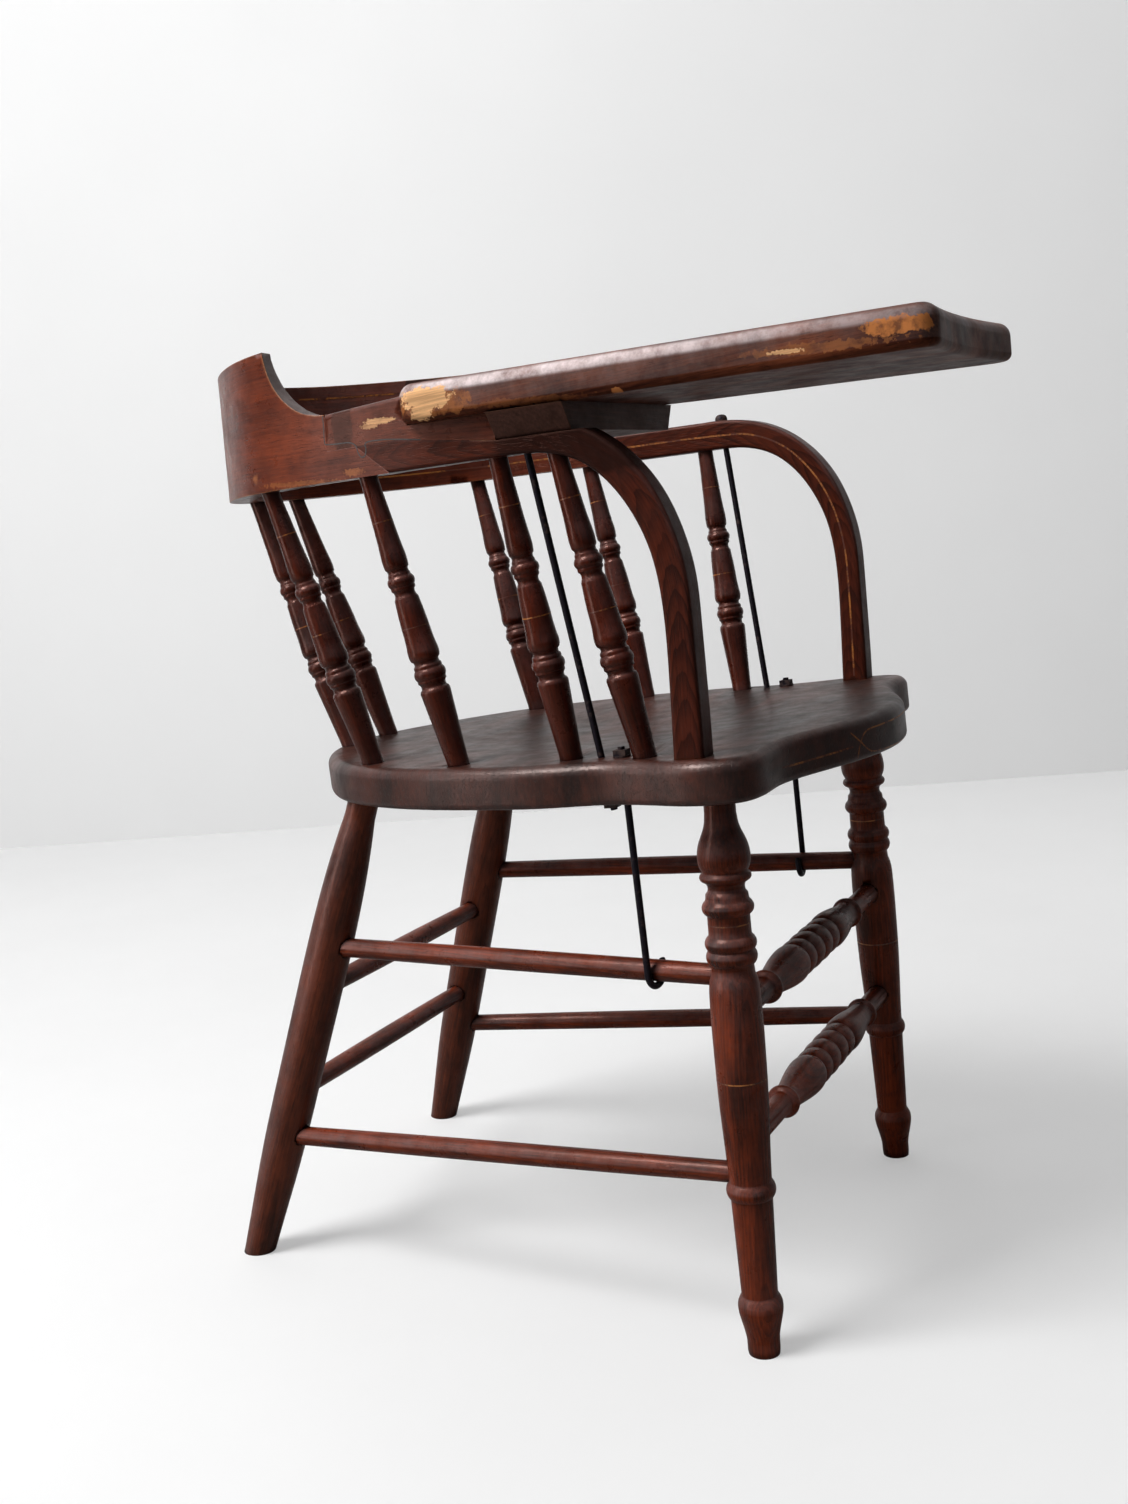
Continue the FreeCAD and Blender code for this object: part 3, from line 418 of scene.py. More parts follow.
@dataclass(frozen=True)
class WoodFinish:
    """Stained, varnished and worn wood, with painted shade in its grooves and a painted sheen on
    its upper rounds.
    """

    name: str
    dark: Colour
    light: Colour
    rubbed: Colour
    groove: Colour
    rings: float = 430.0
    drift: float = 0.06
    wander: float = 0.006
    figure: float = 0.45
    cloud: float = 0.5
    pores: float = 0.55
    edge_wear: float = 0.6
    rim: float = 0.5
    # Strength of the darkening in grooves and between parts: dirt and painted shade.
    dirt: float = 0.8
    # Strength of the pale film on upper rounds: dust and painted sheen.
    haze: float = 0.2
    relief: float = 0.45
    edge_round: float = 0.0015
    wear_reach: float = 0.004
    ragged: float = 0.6
    roughness: float = 0.32
    shine: float = 0.22
    coat: float = 0.06
    coat_roughness: float = 0.14
    joint: tuple[tuple, tuple] | None = None
    patches: tuple[BarePatch, ...] = ()
    scuffs: tuple[BarePatch, ...] = ()
    # Stains, and painted shadows, laid in the groove colour.
    stains: tuple[BarePatch, ...] = ()
    bare: Colour = (0.92, 0.52, 0.25, 1.0)
    amber: Colour = (0.60, 0.22, 0.065, 1.0)
    # Colour of the pale upper film, dust and painted sheen, and where along Y that film fades.
    film: Colour = (0.30, 0.225, 0.225, 1.0)
    film_fade: tuple[float, float] | None = None
    gleam: Colour = (1.0, 0.42, 0.3, 1.0)

    def material(self) -> bpy.types.Material:
        """Builds the material.

        Returns:
            The material, reading the piece's grain attribute and Object coordinates.
        """
        made, g = new_material(self.name)
        along_grain = g.node("ShaderNodeAttribute", {"attribute_name": "grain"}).outputs["Vector"]
        place = g.object_place()
        grain = GRAIN.place(g, Place=along_grain, Rings=self.rings, Drift=self.drift,
                            Wander=self.wander)
        wear = WEAR.place(g, Place=place, Round=self.edge_round, Reach=self.wear_reach,
                          Ragged=self.ragged)
        grime = g.noise(place, 48.0, 4.0, 0.65)
        colour = self.stained(g, grain)
        colour = g.mix(g.span(grime, 0.5, 0.75, 0.0, 0.45), colour, self.groove)
        # Grooves and places between parts darkened: dirt and painted shade.
        colour = g.mix(g.times(wear["Groove"], self.dirt), colour, self.groove)
        edge, rim = g.times(wear["Edge"], self.edge_wear), g.times(wear["Rim"], self.rim)
        normal = wear["Normal"]
        if self.joint is not None:
            free = g.minus(1.0, g.inside(place, *self.joint))
            edge, rim = g.times(edge, free), g.times(rim, free)
            true = g.node("ShaderNodeNewGeometry").outputs["Normal"]
            normal = g.mix(free, true, normal, "VECTOR")
        colour = g.mix(edge, colour, self.rubbed)
        colour = g.mix(rim, colour, self.bare)
        # Pale film on upper rounds: dust and painted sheen, faded along Y where a fade is given.
        haze = g.times(wear["Haze"], self.haze)
        if self.film_fade is not None:
            haze = g.times(haze, g.span(g.axes(place)["Y"], *self.film_fade, 0.3, 1.0))
        colour = g.mix(haze, colour, self.film)
        rough = g.plus(g.span(grime, 0.35, 0.7, self.roughness - 0.05, self.roughness + 0.12),
                       g.times(edge, 0.12))
        height = g.minus(g.times(grain["Fibre"], 0.4), g.times(grain["Pore"], 0.55))
        height = g.plus(height, g.times(g.noise(place, 75.0, 3.0), 0.8))
        # Stains and painted shadows in the groove colour, scuffs in amber.
        for patches, paint, low in ((self.stains, self.groove, 0.0),
                                    (self.scuffs, self.amber, 0.36)):
            mask = self.mask_of(g, place, patches)
            if mask is not None:
                worn = g.span(g.noise(place, 95.0, 5.0, 0.68), low, low + 0.16, 0.25, 1.0)
                colour = g.mix(g.times(mask, worn), colour, paint)
        bare_mask = self.mask_of(g, place, self.patches)
        if bare_mask is not None:
            shaded = tuple(0.6 * c for c in self.bare[:3]) + (1.0,)
            bare = g.mix(g.span(grain["Fibre"], 0.4, 0.62), self.bare, shaded)
            colour = g.mix(bare_mask, colour, bare)
            rough = g.plus(rough, g.times(bare_mask, 0.35))
            height = g.minus(height, g.times(bare_mask, 1.2))
        bump = g.node("ShaderNodeBump", None, Strength=self.relief, Distance=0.0005,
                      Height=height, Normal=normal)
        g.show(g.node("ShaderNodeBsdfPrincipled", None, Base_Color=colour, Roughness=rough,
                      Normal=bump.outputs["Normal"], Specular_IOR_Level=self.shine,
                      Specular_Tint=self.gleam, Coat_Weight=self.coat,
                      Coat_Roughness=self.coat_roughness))
        return made

    def stained(self, g: Graph, grain: Sockets) -> Socket:
        """Colour of the stained wood before dirt and wear.

        Args:
            g: the material's graph.
            grain: outputs of the grain group.

        Returns:
            The colour socket.
        """
        tone = g.plus(g.times(g.minus(grain["Cloud"], 0.5), 2.4 * self.cloud),
                      g.times(g.minus(grain["Fibre"], 0.5), 1.5))
        colour = g.mix(g.math("ADD", tone, 0.5, clamp=True), self.dark, self.light)
        colour = g.mix(g.times(grain["Figure"], self.figure), colour, self.groove)
        return g.mix(g.times(grain["Pore"], self.pores), colour, self.groove)

    def mask_of(self, g: Graph, place: Feed, patches: tuple[BarePatch, ...]) -> Socket | None:
        """Joined mask of some patches.

        Args:
            g: the material's graph.
            place: Object coordinates.
            patches: the patches.

        Returns:
            The mask, or None without patches.
        """
        mask = None
        for patch in patches:
            one = PATCH.place(g, Place=place, Centre=patch.centre, Reach=patch.reach,
                              Ragged=patch.ragged, Fine=patch.fine)["Mask"]
            one = g.times(one, patch.strength)
            mask = one if mask is None else g.math("MAXIMUM", mask, one)
        return mask


@dataclass(frozen=True)
class StripePaint:
    """Thin hand-drawn line of worn yellow paint."""

    name: str = "pinstripe paint"
    paint: Colour = (0.40, 0.13, 0.022, 1.0)
    wood: Colour = (0.085, 0.018, 0.008, 1.0)
    kept: float = 0.40

    def material(self) -> bpy.types.Material:
        """Builds the material: paint that is rubbed through to the wood in places."""
        made, g = new_material(self.name)
        place = g.object_place()
        coarse, fine = g.noise(place, 45.0, 3.0, 0.6), g.noise(place, 420.0, 2.0, 0.6)
        worn = g.span(g.plus(coarse, g.times(g.minus(fine, 0.5), 0.5)), self.kept,
                      self.kept + 0.16)
        g.show(g.node("ShaderNodeBsdfPrincipled", None, Coat_Weight=0.2,
                      Base_Color=g.mix(worn, self.paint, self.wood),
                      Roughness=g.span(fine, 0.3, 0.7, 0.35, 0.5)))
        return made


@dataclass(frozen=True)
class IronFinish:
    """Blackened iron with patches of rust."""

    name: str
    base: Colour = (0.018, 0.014, 0.020, 1.0)
    rust: Colour = (0.055, 0.026, 0.017, 1.0)
    rust_share: float = 0.4
    roughness: float = 0.45

    def material(self) -> bpy.types.Material:
        """Builds the material."""
        made, g = new_material(self.name)
        place = g.object_place()
        coarse, fine = g.noise(place, 160.0, 4.0, 0.65), g.noise(place, 900.0, 2.0, 0.6)
        rusty = g.span(coarse, 0.62 - self.rust_share * 0.35, 0.78 - self.rust_share * 0.35)
        colour = g.mix(rusty, self.base, self.rust)
        colour = g.mix(g.span(fine, 0.3, 0.7, 0.0, 0.4), colour, self.base)
        bump = g.node("ShaderNodeBump", None, Strength=0.5, Distance=0.0003,
                      Height=g.plus(coarse, g.times(fine, 0.4)))
        g.show(g.node("ShaderNodeBsdfPrincipled", None, Base_Color=colour,
                      Roughness=g.plus(g.times(rusty, 0.3), self.roughness),
                      Metallic=g.span(rusty, 0.0, 1.0, 0.85, 0.1),
                      Normal=bump.outputs["Normal"]))
        return made


# Pieces

@dataclass
class GrainWay:
    """The way that a piece's grain runs, and how a board was sawn from the log."""

    line: list[Vector]
    across: list[Vector]
    seed: int
    heart: tuple[float, float] = (0.035, 0.028)
    stretch: float = 1.0
    batch: int = 4000

    def coordinates(self, points: np.ndarray) -> np.ndarray:
        """Places in the piece's own wood for its vertices.

        Args:
            points: vertex positions, one row each.

        Returns:
            Offsets across, in depth and along the grain, one row each.
        """
        line = np.array([tuple(p) for p in self.line])
        start, way = line[:-1], np.diff(line, axis=0)
        length = np.linalg.norm(way, axis=1)
        unit = way / length[:, None]
        across = np.array([tuple(v) for v in self.across[:len(unit)]])
        across -= unit * np.sum(across * unit, axis=1)[:, None]
        across /= np.linalg.norm(across, axis=1)[:, None]
        depth = np.cross(unit, across)
        before = np.concatenate([[0.0], np.cumsum(length)[:-1]])
        out = np.empty_like(points)
        for low in range(0, len(points), self.batch):
            part = points[low:low + self.batch]
            rel = part[:, None, :] - start[None, :, :]
            along = np.sum(rel * unit[None], axis=2)
            inside = np.clip(along, 0.0, length[None])
            gap = np.linalg.norm(rel - unit[None] * inside[..., None], axis=2)
            best = np.argmin(gap, axis=1)
            rows = np.arange(len(part))
            near = rel[rows, best]
            out[low:low + self.batch] = np.stack([
                np.sum(near * across[best], axis=1), np.sum(near * depth[best], axis=1),
                before[best] + along[rows, best]], axis=1)
        along = np.random.default_rng(self.seed).uniform(0.0, 9.0)
        out[:, 0] *= self.stretch
        return out + np.array([[self.heart[0], self.heart[1], along]])


def straight_way(start: Vector, end: Vector, seed: int,
                 heart: tuple[float, float] = (0.035, 0.028), sideways: float = 0.8) -> GrainWay:
    """Grain that runs straight along a piece.

    Args:
        start: where it starts.
        end: where it ends.
        seed: number of the piece's own wood.
        heart: where the log's heart lies beside it.
        sideways: share of X above which the piece counts as lying across the chair.

    Returns:
        The way of the grain.
    """
    lies_across = abs((end - start).normalized().dot(LEFTWARD)) > sideways
    return GrainWay([start, end], [UP if lies_across else LEFTWARD], seed, heart)


def linked(name: str, data: bpy.types.ID) -> bpy.types.Object:
    """A new object of some data in the scene, at the origin."""
    made = bpy.data.objects.new(name, data)
    bpy.context.scene.collection.objects.link(made)
    return made


def mesh_object(name: str, verts: list, faces: list) -> bpy.types.Object:
    """A new mesh object in the scene, at the origin."""
    mesh = bpy.data.meshes.new(name)
    mesh.from_pydata([tuple(v) for v in verts], [], faces)
    mesh.update()
    return linked(name, mesh)


def applied(holder: bpy.types.Object, name: str, modifier: bpy.types.Modifier) -> bpy.types.Object:
    """A plain mesh object of what a modifier makes, in place of its holder."""
    graph = bpy.context.evaluated_depsgraph_get()
    mesh = bpy.data.meshes.new_from_object(holder.evaluated_get(graph))
    mesh.name = name
    holder.modifiers.remove(modifier)
    bpy.data.objects.remove(holder)
    return linked(name, mesh)


def box_of(node: str) -> tuple[Vector, Vector, Vector]:
    """Low corner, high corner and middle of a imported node."""
    low, high = (Vector(corner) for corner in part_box(node))
    return low, high, (low + high) / 2


def dressed_copy(node: str, way: GrainWay | None, finish: bpy.types.Material,
                 crease_deg: float = 32.0,
                 reshape: Callable[[np.ndarray], np.ndarray] | None = None) -> bpy.types.Object:
    """A smoothly shaded copy of a node, with its grain and finish, in the node's place.

    Args:
        node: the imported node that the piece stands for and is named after.
        way: the way of its grain, or None for iron.
        finish: its material.
        crease_deg: edges that turn more than this stay sharp.
        reshape: moves the vertices by a little before the grain is laid.

    Returns:
        The new object.
    """
    name = node + ("_iron" if way is None else "_wood")
    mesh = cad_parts[node].data.copy()
    mesh.name = name
    work = bmesh.new()
    work.from_mesh(mesh)
    bmesh.ops.remove_doubles(work, verts=work.verts, dist=SAME_PLACE)
    bmesh.ops.dissolve_degenerate(work, edges=work.edges, dist=SAME_PLACE / 2)
    if reshape is not None:
        moved_points = reshape(np.array([tuple(v.co) for v in work.verts]))
        for vertex, place in zip(work.verts, moved_points):
            vertex.co = place
    for face in work.faces:
        face.smooth = True
    work.to_mesh(mesh)
    work.free()
    mesh.set_sharp_from_angle(angle=math.radians(crease_deg))
    if way is not None:
        points = np.empty(len(mesh.vertices) * 3)
        mesh.vertices.foreach_get("co", points)
        wood = way.coordinates(points.reshape(-1, 3))
        layer = mesh.attributes.new("grain", "FLOAT_VECTOR", "POINT")
        layer.data.foreach_set("vector", wood.astype(np.float32).ravel())
    mesh.materials.clear()
    mesh.materials.append(finish)
    holder = linked(name + "_raw", mesh)
    even = holder.modifiers.new("even normals", "WEIGHTED_NORMAL")
    even.keep_sharp = True
    made = applied(holder, name, even)
    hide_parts(node)
    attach(made, BODY)
    log.info("%s: %d triangles", name, len(mesh.polygons))
    return made


class Corner(NamedTuple):
    """A face's corner near a joint between boards."""

    board: int
    loop: int
    place: Vector
    normal: Vector
    area: float


def shade_across(boards: list[bpy.types.Object], joint: float, near: float = 0.004,
                 reach: float = 0.0003, board_side: float = 0.97, alike: float = 0.85) -> None:
    """Evens out the shading where glued boards meet, so that their faces run on as one.

    Args:
        boards: the boards, each with its own mesh.
        joint: where along Y the joint lies.
        near: how far from the joint corners are looked at.
        reach: how far apart the corners of two boards may lie.
        board_side: share of Y in a normal from which a face is a glued side.
        alike: cosine from which two faces count as running on.
    """
    normals = [[corner.vector.copy() for corner in board.data.corner_normals] for board in boards]
    found = []
    for number, board in enumerate(boards):
        mesh = board.data
        for face in mesh.polygons:
            for loop in face.loop_indices:
                place = mesh.vertices[mesh.loops[loop].vertex_index].co
                if abs(place.y - joint) < near:
                    found.append(Corner(number, loop, place.copy(), face.normal.copy(), face.area))
    tree = KDTree(len(found))
    for index, corner in enumerate(found):
        tree.insert(corner.place, index)
    tree.balance()
    changed = 0
    for corner in found:
        close = [found[index] for _, index, _ in tree.find_range(corner.place, reach)]
        if any(abs(mate.normal.y) > board_side for mate in close):
            total = sum((mate.normal * mate.area for mate in close
                         if mate.normal.dot(corner.normal) > alike), Vector((0.0, 0.0, 0.0)))
            if total.length > 0.0:
                normals[corner.board][corner.loop] = total.normalized()
                changed += 1
    for board, turned in zip(boards, normals):
        board.data.normals_split_custom_set([tuple(normal) for normal in turned])
    log.info("joint at %.4f: %d of %d corners evened", joint, changed, len(found))


def ring_round(surface: BVHTree, place: Vector, way: Vector) -> tuple[Vector, Vector, float]:
    """Centre, axis and radius of a turned piece round a point inside it.

    Args:
        surface: the piece's surface.
        place: a point near its axis.
        way: its axis.

    Returns:
        The centre on the axis, the axis and the radius there.
    """
    first = way.orthogonal().normalized()
    second = way.cross(first)
    centre, reach = place.copy(), []
    for across in (first, second):
        one = surface.ray_cast(place, across)
        other = surface.ray_cast(place, -across)
        if one[0] is not None and other[0] is not None:
            centre += across * ((one[3] - other[3]) / 2)
            reach.append((one[3] + other[3]) / 2)
    return centre, way, max(reach)


def surface_of(*pieces: bpy.types.Object) -> BVHTree:
    """Search tree over the surfaces of some pieces."""
    verts: list = []
    faces: list = []
    for piece in pieces:
        mesh = piece.data
        base = len(verts)
        verts += [v.co.copy() for v in mesh.vertices]
        faces += [[base + i for i in p.vertices] for p in mesh.polygons]
    return BVHTree.FromPolygons(verts, faces)


@dataclass
class LegsAndStretchers:
    """Four splayed legs and the eight stretchers between them."""

    finish: bpy.types.Material
    rear_finish: bpy.types.Material
    stripe: bpy.types.Material
    front_axis: tuple[Place, Place] = ((0.1898, -0.131, 0.0), (0.1796, -0.1157, 0.4024))
    rear_axis: tuple[Place, Place] = ((0.1616, 0.3379, 0.0), (0.1269, 0.2177, 0.3811))
    # Name, and the stretcher's heights at the rear and the front leg.
    side_rows: tuple[tuple[str, float, float], ...] = (
        ("upper", 0.2694, 0.2822), ("lower", 0.1048, 0.136))
    ring_heights: tuple[float, ...] = (0.3209, 0.2072)
    ring_width: float = 0.001
    seed: int = 11

    def build(self) -> None:
        """Dresses every leg and stretcher with grain along its own axis."""
        rings = []
        for side in Side:
            front, rear = ([moved(side.value * x, y, z) for x, y, z in axis]
                           for axis in (self.front_axis, self.rear_axis))
            leg = self.dress(f"front_leg_{side.word}", *front)
            rings += self.rings_on(surface_of(leg), *front)
            self.dress(f"rear_leg_{side.word}", *rear)
            for row, at_rear, at_front in self.side_rows:
                start = rear[0].lerp(rear[1], at_rear / rear[1].z)
                end = front[0].lerp(front[1], at_front / front[1].z)
                self.dress(f"side_stretcher_{row}_{side.word}", start, end)
        for place in ("rear", "front"):
            for row in ("upper", "lower"):
                name = f"{place}_stretcher_{row}"
                low, high, middle = box_of(name)
                half = Vector(((high.x - low.x) / 2, 0.0, 0.0))
                self.dress(name, middle - half, middle + half)
        painted_rings("leg_rings", rings, self.ring_width, PAINT_LIFT, self.stripe)

    def rings_on(self, surface: BVHTree, foot: Vector, top: Vector) -> list:
        """Centre, axis and radius of each painted ring on a front leg."""
        return [ring_round(surface, foot.lerp(top, height / top.z), (top - foot).normalized())
                for height in self.ring_heights]

    def dress(self, node: str, start: Vector, end: Vector) -> bpy.types.Object:
        """Dresses one turned piece whose axis runs from start to end."""
        self.seed += 1
        finish = self.rear_finish if node.startswith("rear_leg") else self.finish
        return dressed_copy(node, straight_way(start, end, self.seed), finish)


@dataclass
class Spindles:
    """Nine turned spindles between the seat and the rail."""

    finish: bpy.types.Material
    stripe: bpy.types.Material
    ring_width: float = 0.001
    ring_shares: tuple[float, ...] = (0.487, 0.805)
    seed: int = 40

    def build(self) -> None:
        """Dresses the spindles and draws the painted rings on them."""
        rings: list[tuple[Vector, Vector, float]] = []
        nodes = [f"spindle_{side.word}_{place}" for side in Side
                 for place in ("rear", "mid_rear", "mid_front", "front")]
        nodes.append("spindle_tablet_support")
        for node in nodes:
            foot, head = self.axis_of(node)
            self.seed += 1
            surface = surface_of(dressed_copy(node, straight_way(foot, head, self.seed),
                                              self.finish))
            rings += [ring_round(surface, foot.lerp(head, share), (head - foot).normalized())
                      for share in self.ring_shares]
        painted_rings("spindle_rings", rings, self.ring_width, PAINT_LIFT, self.stripe)

    def axis_of(self, node: str, end: float = 0.002) -> tuple[Vector, Vector]:
        """Foot and head of a spindle's axis: the middles of its vertices within `end` of each."""
        points = np.array([tuple(v.co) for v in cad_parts[node].data.vertices])
        low = points[points[:, 2] < points[:, 2].min() + end]
        high = points[points[:, 2] > points[:, 2].max() - end]
        foot = (low.min(axis=0) + low.max(axis=0)) / 2
        head = (high.min(axis=0) + high.max(axis=0)) / 2
        return Vector(foot), Vector(head)


def ring_tree() -> bpy.types.NodeTree:
    """Geometry Nodes: one thin painted band at every point, turned and sized by attributes."""
    tree = bpy.data.node_groups.new("painted rings", "GeometryNodeTree")
    for key, way, kind in (("Geometry", "INPUT", "Geometry"), ("Width", "INPUT", "Float"),
                           ("Lift", "INPUT", "Float"), ("Paint", "INPUT", "Material"),
                           ("Geometry", "OUTPUT", "Geometry")):
        tree.interface.new_socket(key, in_out=way, socket_type="NodeSocket" + kind)
    g = Graph(tree)
    enter = g.node("NodeGroupInput").outputs
    band = g.node("GeometryNodeMeshCylinder", {"fill_type": "NONE"}, Vertices=40, Radius=1.0,
                  Depth=enter["Width"])
    axis, size = (g.node("GeometryNodeInputNamedAttribute", {"data_type": kind},
                         Name=name).outputs["Attribute"]
                  for name, kind in (("way", "FLOAT_VECTOR"), ("size", "FLOAT")))
    turn = g.node("FunctionNodeAlignRotationToVector", {"axis": "Z"}, Vector=axis)
    outer = g.plus(size, enter["Lift"])
    scale = g.node("ShaderNodeCombineXYZ", None, X=outer, Y=outer, Z=1.0)
    put = g.node("GeometryNodeInstanceOnPoints", None, Points=enter["Geometry"],
                 Instance=band.outputs["Mesh"], Rotation=turn.outputs["Rotation"],
                 Scale=scale.outputs[0])
    real = g.node("GeometryNodeRealizeInstances", None, Geometry=put.outputs[0])
    paint = g.node("GeometryNodeSetMaterial", None, Geometry=real.outputs[0],
                   Material=enter["Paint"])
    g.node("NodeGroupOutput", None, Geometry=paint.outputs[0])
    return tree


def painted_rings(name: str, rings: list[tuple[Vector, Vector, float]], width: float, lift: float,
                  paint: bpy.types.Material) -> bpy.types.Object:
    """Painted bands round turned pieces.

    Args:
        name: the piece's name.
        rings: centre, axis and radius of the wood at each band.
        width: width of a band.
        lift: how far the paint stands out of the wood.
        paint: its material.

    Returns:
        The bands as one mesh.
    """
    holder = mesh_object(name + "_points", [c for c, _, _ in rings], [])
    way = holder.data.attributes.new("way", "FLOAT_VECTOR", "POINT")
    way.data.foreach_set("vector", [v for _, axis, _ in rings for v in axis])
    size = holder.data.attributes.new("size", "FLOAT", "POINT")
    size.data.foreach_set("value", [radius for _, _, radius in rings])
    modifier = holder.modifiers.new("rings", "NODES")
    modifier.node_group = ring_tree()
    sockets = {item.name: item.identifier for item in modifier.node_group.interface.items_tree
               if item.in_out == "INPUT"}
    modifier[sockets["Width"]] = width
    modifier[sockets["Lift"]] = lift
    modifier[sockets["Paint"]] = paint
    made = applied(holder, name, modifier)
    for polygon in made.data.polygons:
        polygon.use_smooth = True
    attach(made, BODY)
    log.info("%s: %d rings", name, len(rings))
    return made


def plan_line(count: int, offset: float) -> list[Vector]:
    """Points of the rail's plan from the right front to the left front.

    Args:
        count: how many points to give.
        offset: how far inwards from the rail's middle they lie.

    Returns:
        The points, at no height.
    """
    half = [Vector((-x * RAIL_HALF_WIDTH, y * RAIL_REAR_REACH, 0.0))
            for x, y in reversed(RAIL_PLAN)]
    half.insert(0, Vector((-RAIL_HALF_WIDTH, -RAIL_FRONT_REACH, 0.0)))
    other = [Vector((-p.x, p.y, 0.0)) for p in reversed(half[:-1])]
    line = smooth_line(half + other, count)
    out = []
    for index, point in enumerate(line):
        way = line[min(index + 1, count - 1)] - line[max(index - 1, 0)]
        normal = way.cross(UP).normalized()
        out.append(point + normal * offset)
    return out


def arm_line(side: Side, count: int, bend_end: float = 0.012,
             rail_run: tuple[float, float] = (0.022, 0.16)) -> list[Vector]:
    """Middle line of an arm, from its foot to the lap, in the row's frame.

    Args:
        side: which arm.
        count: how many points to give.
        bend_end: where along Y the bend's own points end.
        rail_run: from where to where along Y the rail's points are taken.

    Returns:
        The points of the line.
    """
    outer, inner = (smooth_line([Vector((0.0, -y * ARM_BEND_REACH,
                                         SEAT_HEIGHT + z * ARM_BEND_RISE)) for y, z in edge], count)
                    for edge in (ARM_OUTER, ARM_INNER))
    middle = [a.lerp(b, 0.5) for a, b in zip(outer, inner)]
    rail = [p for p in plan_line(PLAN_POINTS, 0.0)
            if p.x * side.value > 0 and rail_run[0] < p.y < rail_run[1]]
    rail.sort(key=lambda p: p.y)
    line = [moved(side.value * RAIL_HALF_WIDTH, p.y, p.z) for p in middle if p.y < bend_end]
    line += [moved(p.x, p.y, rail_under(p.y) + RAIL_DEPTH / 2) for p in rail]
    return smooth_line(line[::4], count)


def plan_across(line: list[Vector], upright: float = 0.15, forward: float = 0.02,
                facing: float = 0.3) -> list[Vector]:
    """Level directions square to a line, for a bent piece's grain.

    Args:
        line: the piece's middle line.
        upright: level share below which the line counts as upright.
        forward: share of X below which it counts as running straight to the front.
        facing: share of X below which a direction isn't turned to the left.

    Returns:
        One direction for each stretch of the line.
    """
    out = []
    for p, q in zip(line, line[1:]):
        way, length = Vector((q.x - p.x, q.y - p.y, 0.0)), (q - p).length
        if way.length < upright * length or abs(way.x) < forward * length:
            out.append(LEFTWARD)
        else:
            side = way.cross(UP).normalized()
            out.append(side if side.x > 0 or abs(side.x) < facing else -side)
    return out


def ribbon(name: str, surface: BVHTree, rays: list[tuple[Vector, Vector]], width: float,
           paint: bpy.types.Material) -> bpy.types.Object:
    """Thin painted line on a surface.

    Args:
        name: the piece's name.
        surface: what the line is painted on.
        rays: starts and ways of rays that meet the surface along the line.
        width: width of the line.
        paint: its material.

    Returns:
        The line as a strip of faces.
    """
    hits = [surface.ray_cast(start, way) for start, way in rays]
    points, normals = zip(*[hit[:2] for hit in hits if hit[0] is not None])
    verts, faces = [], []
    for index, (point, normal) in enumerate(zip(points, normals)):
        way = points[min(index + 1, len(points) - 1)] - points[max(index - 1, 0)]
        across = way.cross(normal).normalized() * (width / 2)
        verts += [point + normal * PAINT_LIFT - across, point + normal * PAINT_LIFT + across]
        if index:
            base = 2 * index
            faces.append((base - 2, base - 1, base + 1, base))
    made = mesh_object(name, verts, faces)
    if made.data.polygons and made.data.polygons[0].normal.dot(normals[0]) < 0:
        made.data.flip_normals()
    made.data.materials.append(paint)
    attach(made, BODY)
    log.info("%s: %d points", name, len(points))
    return made


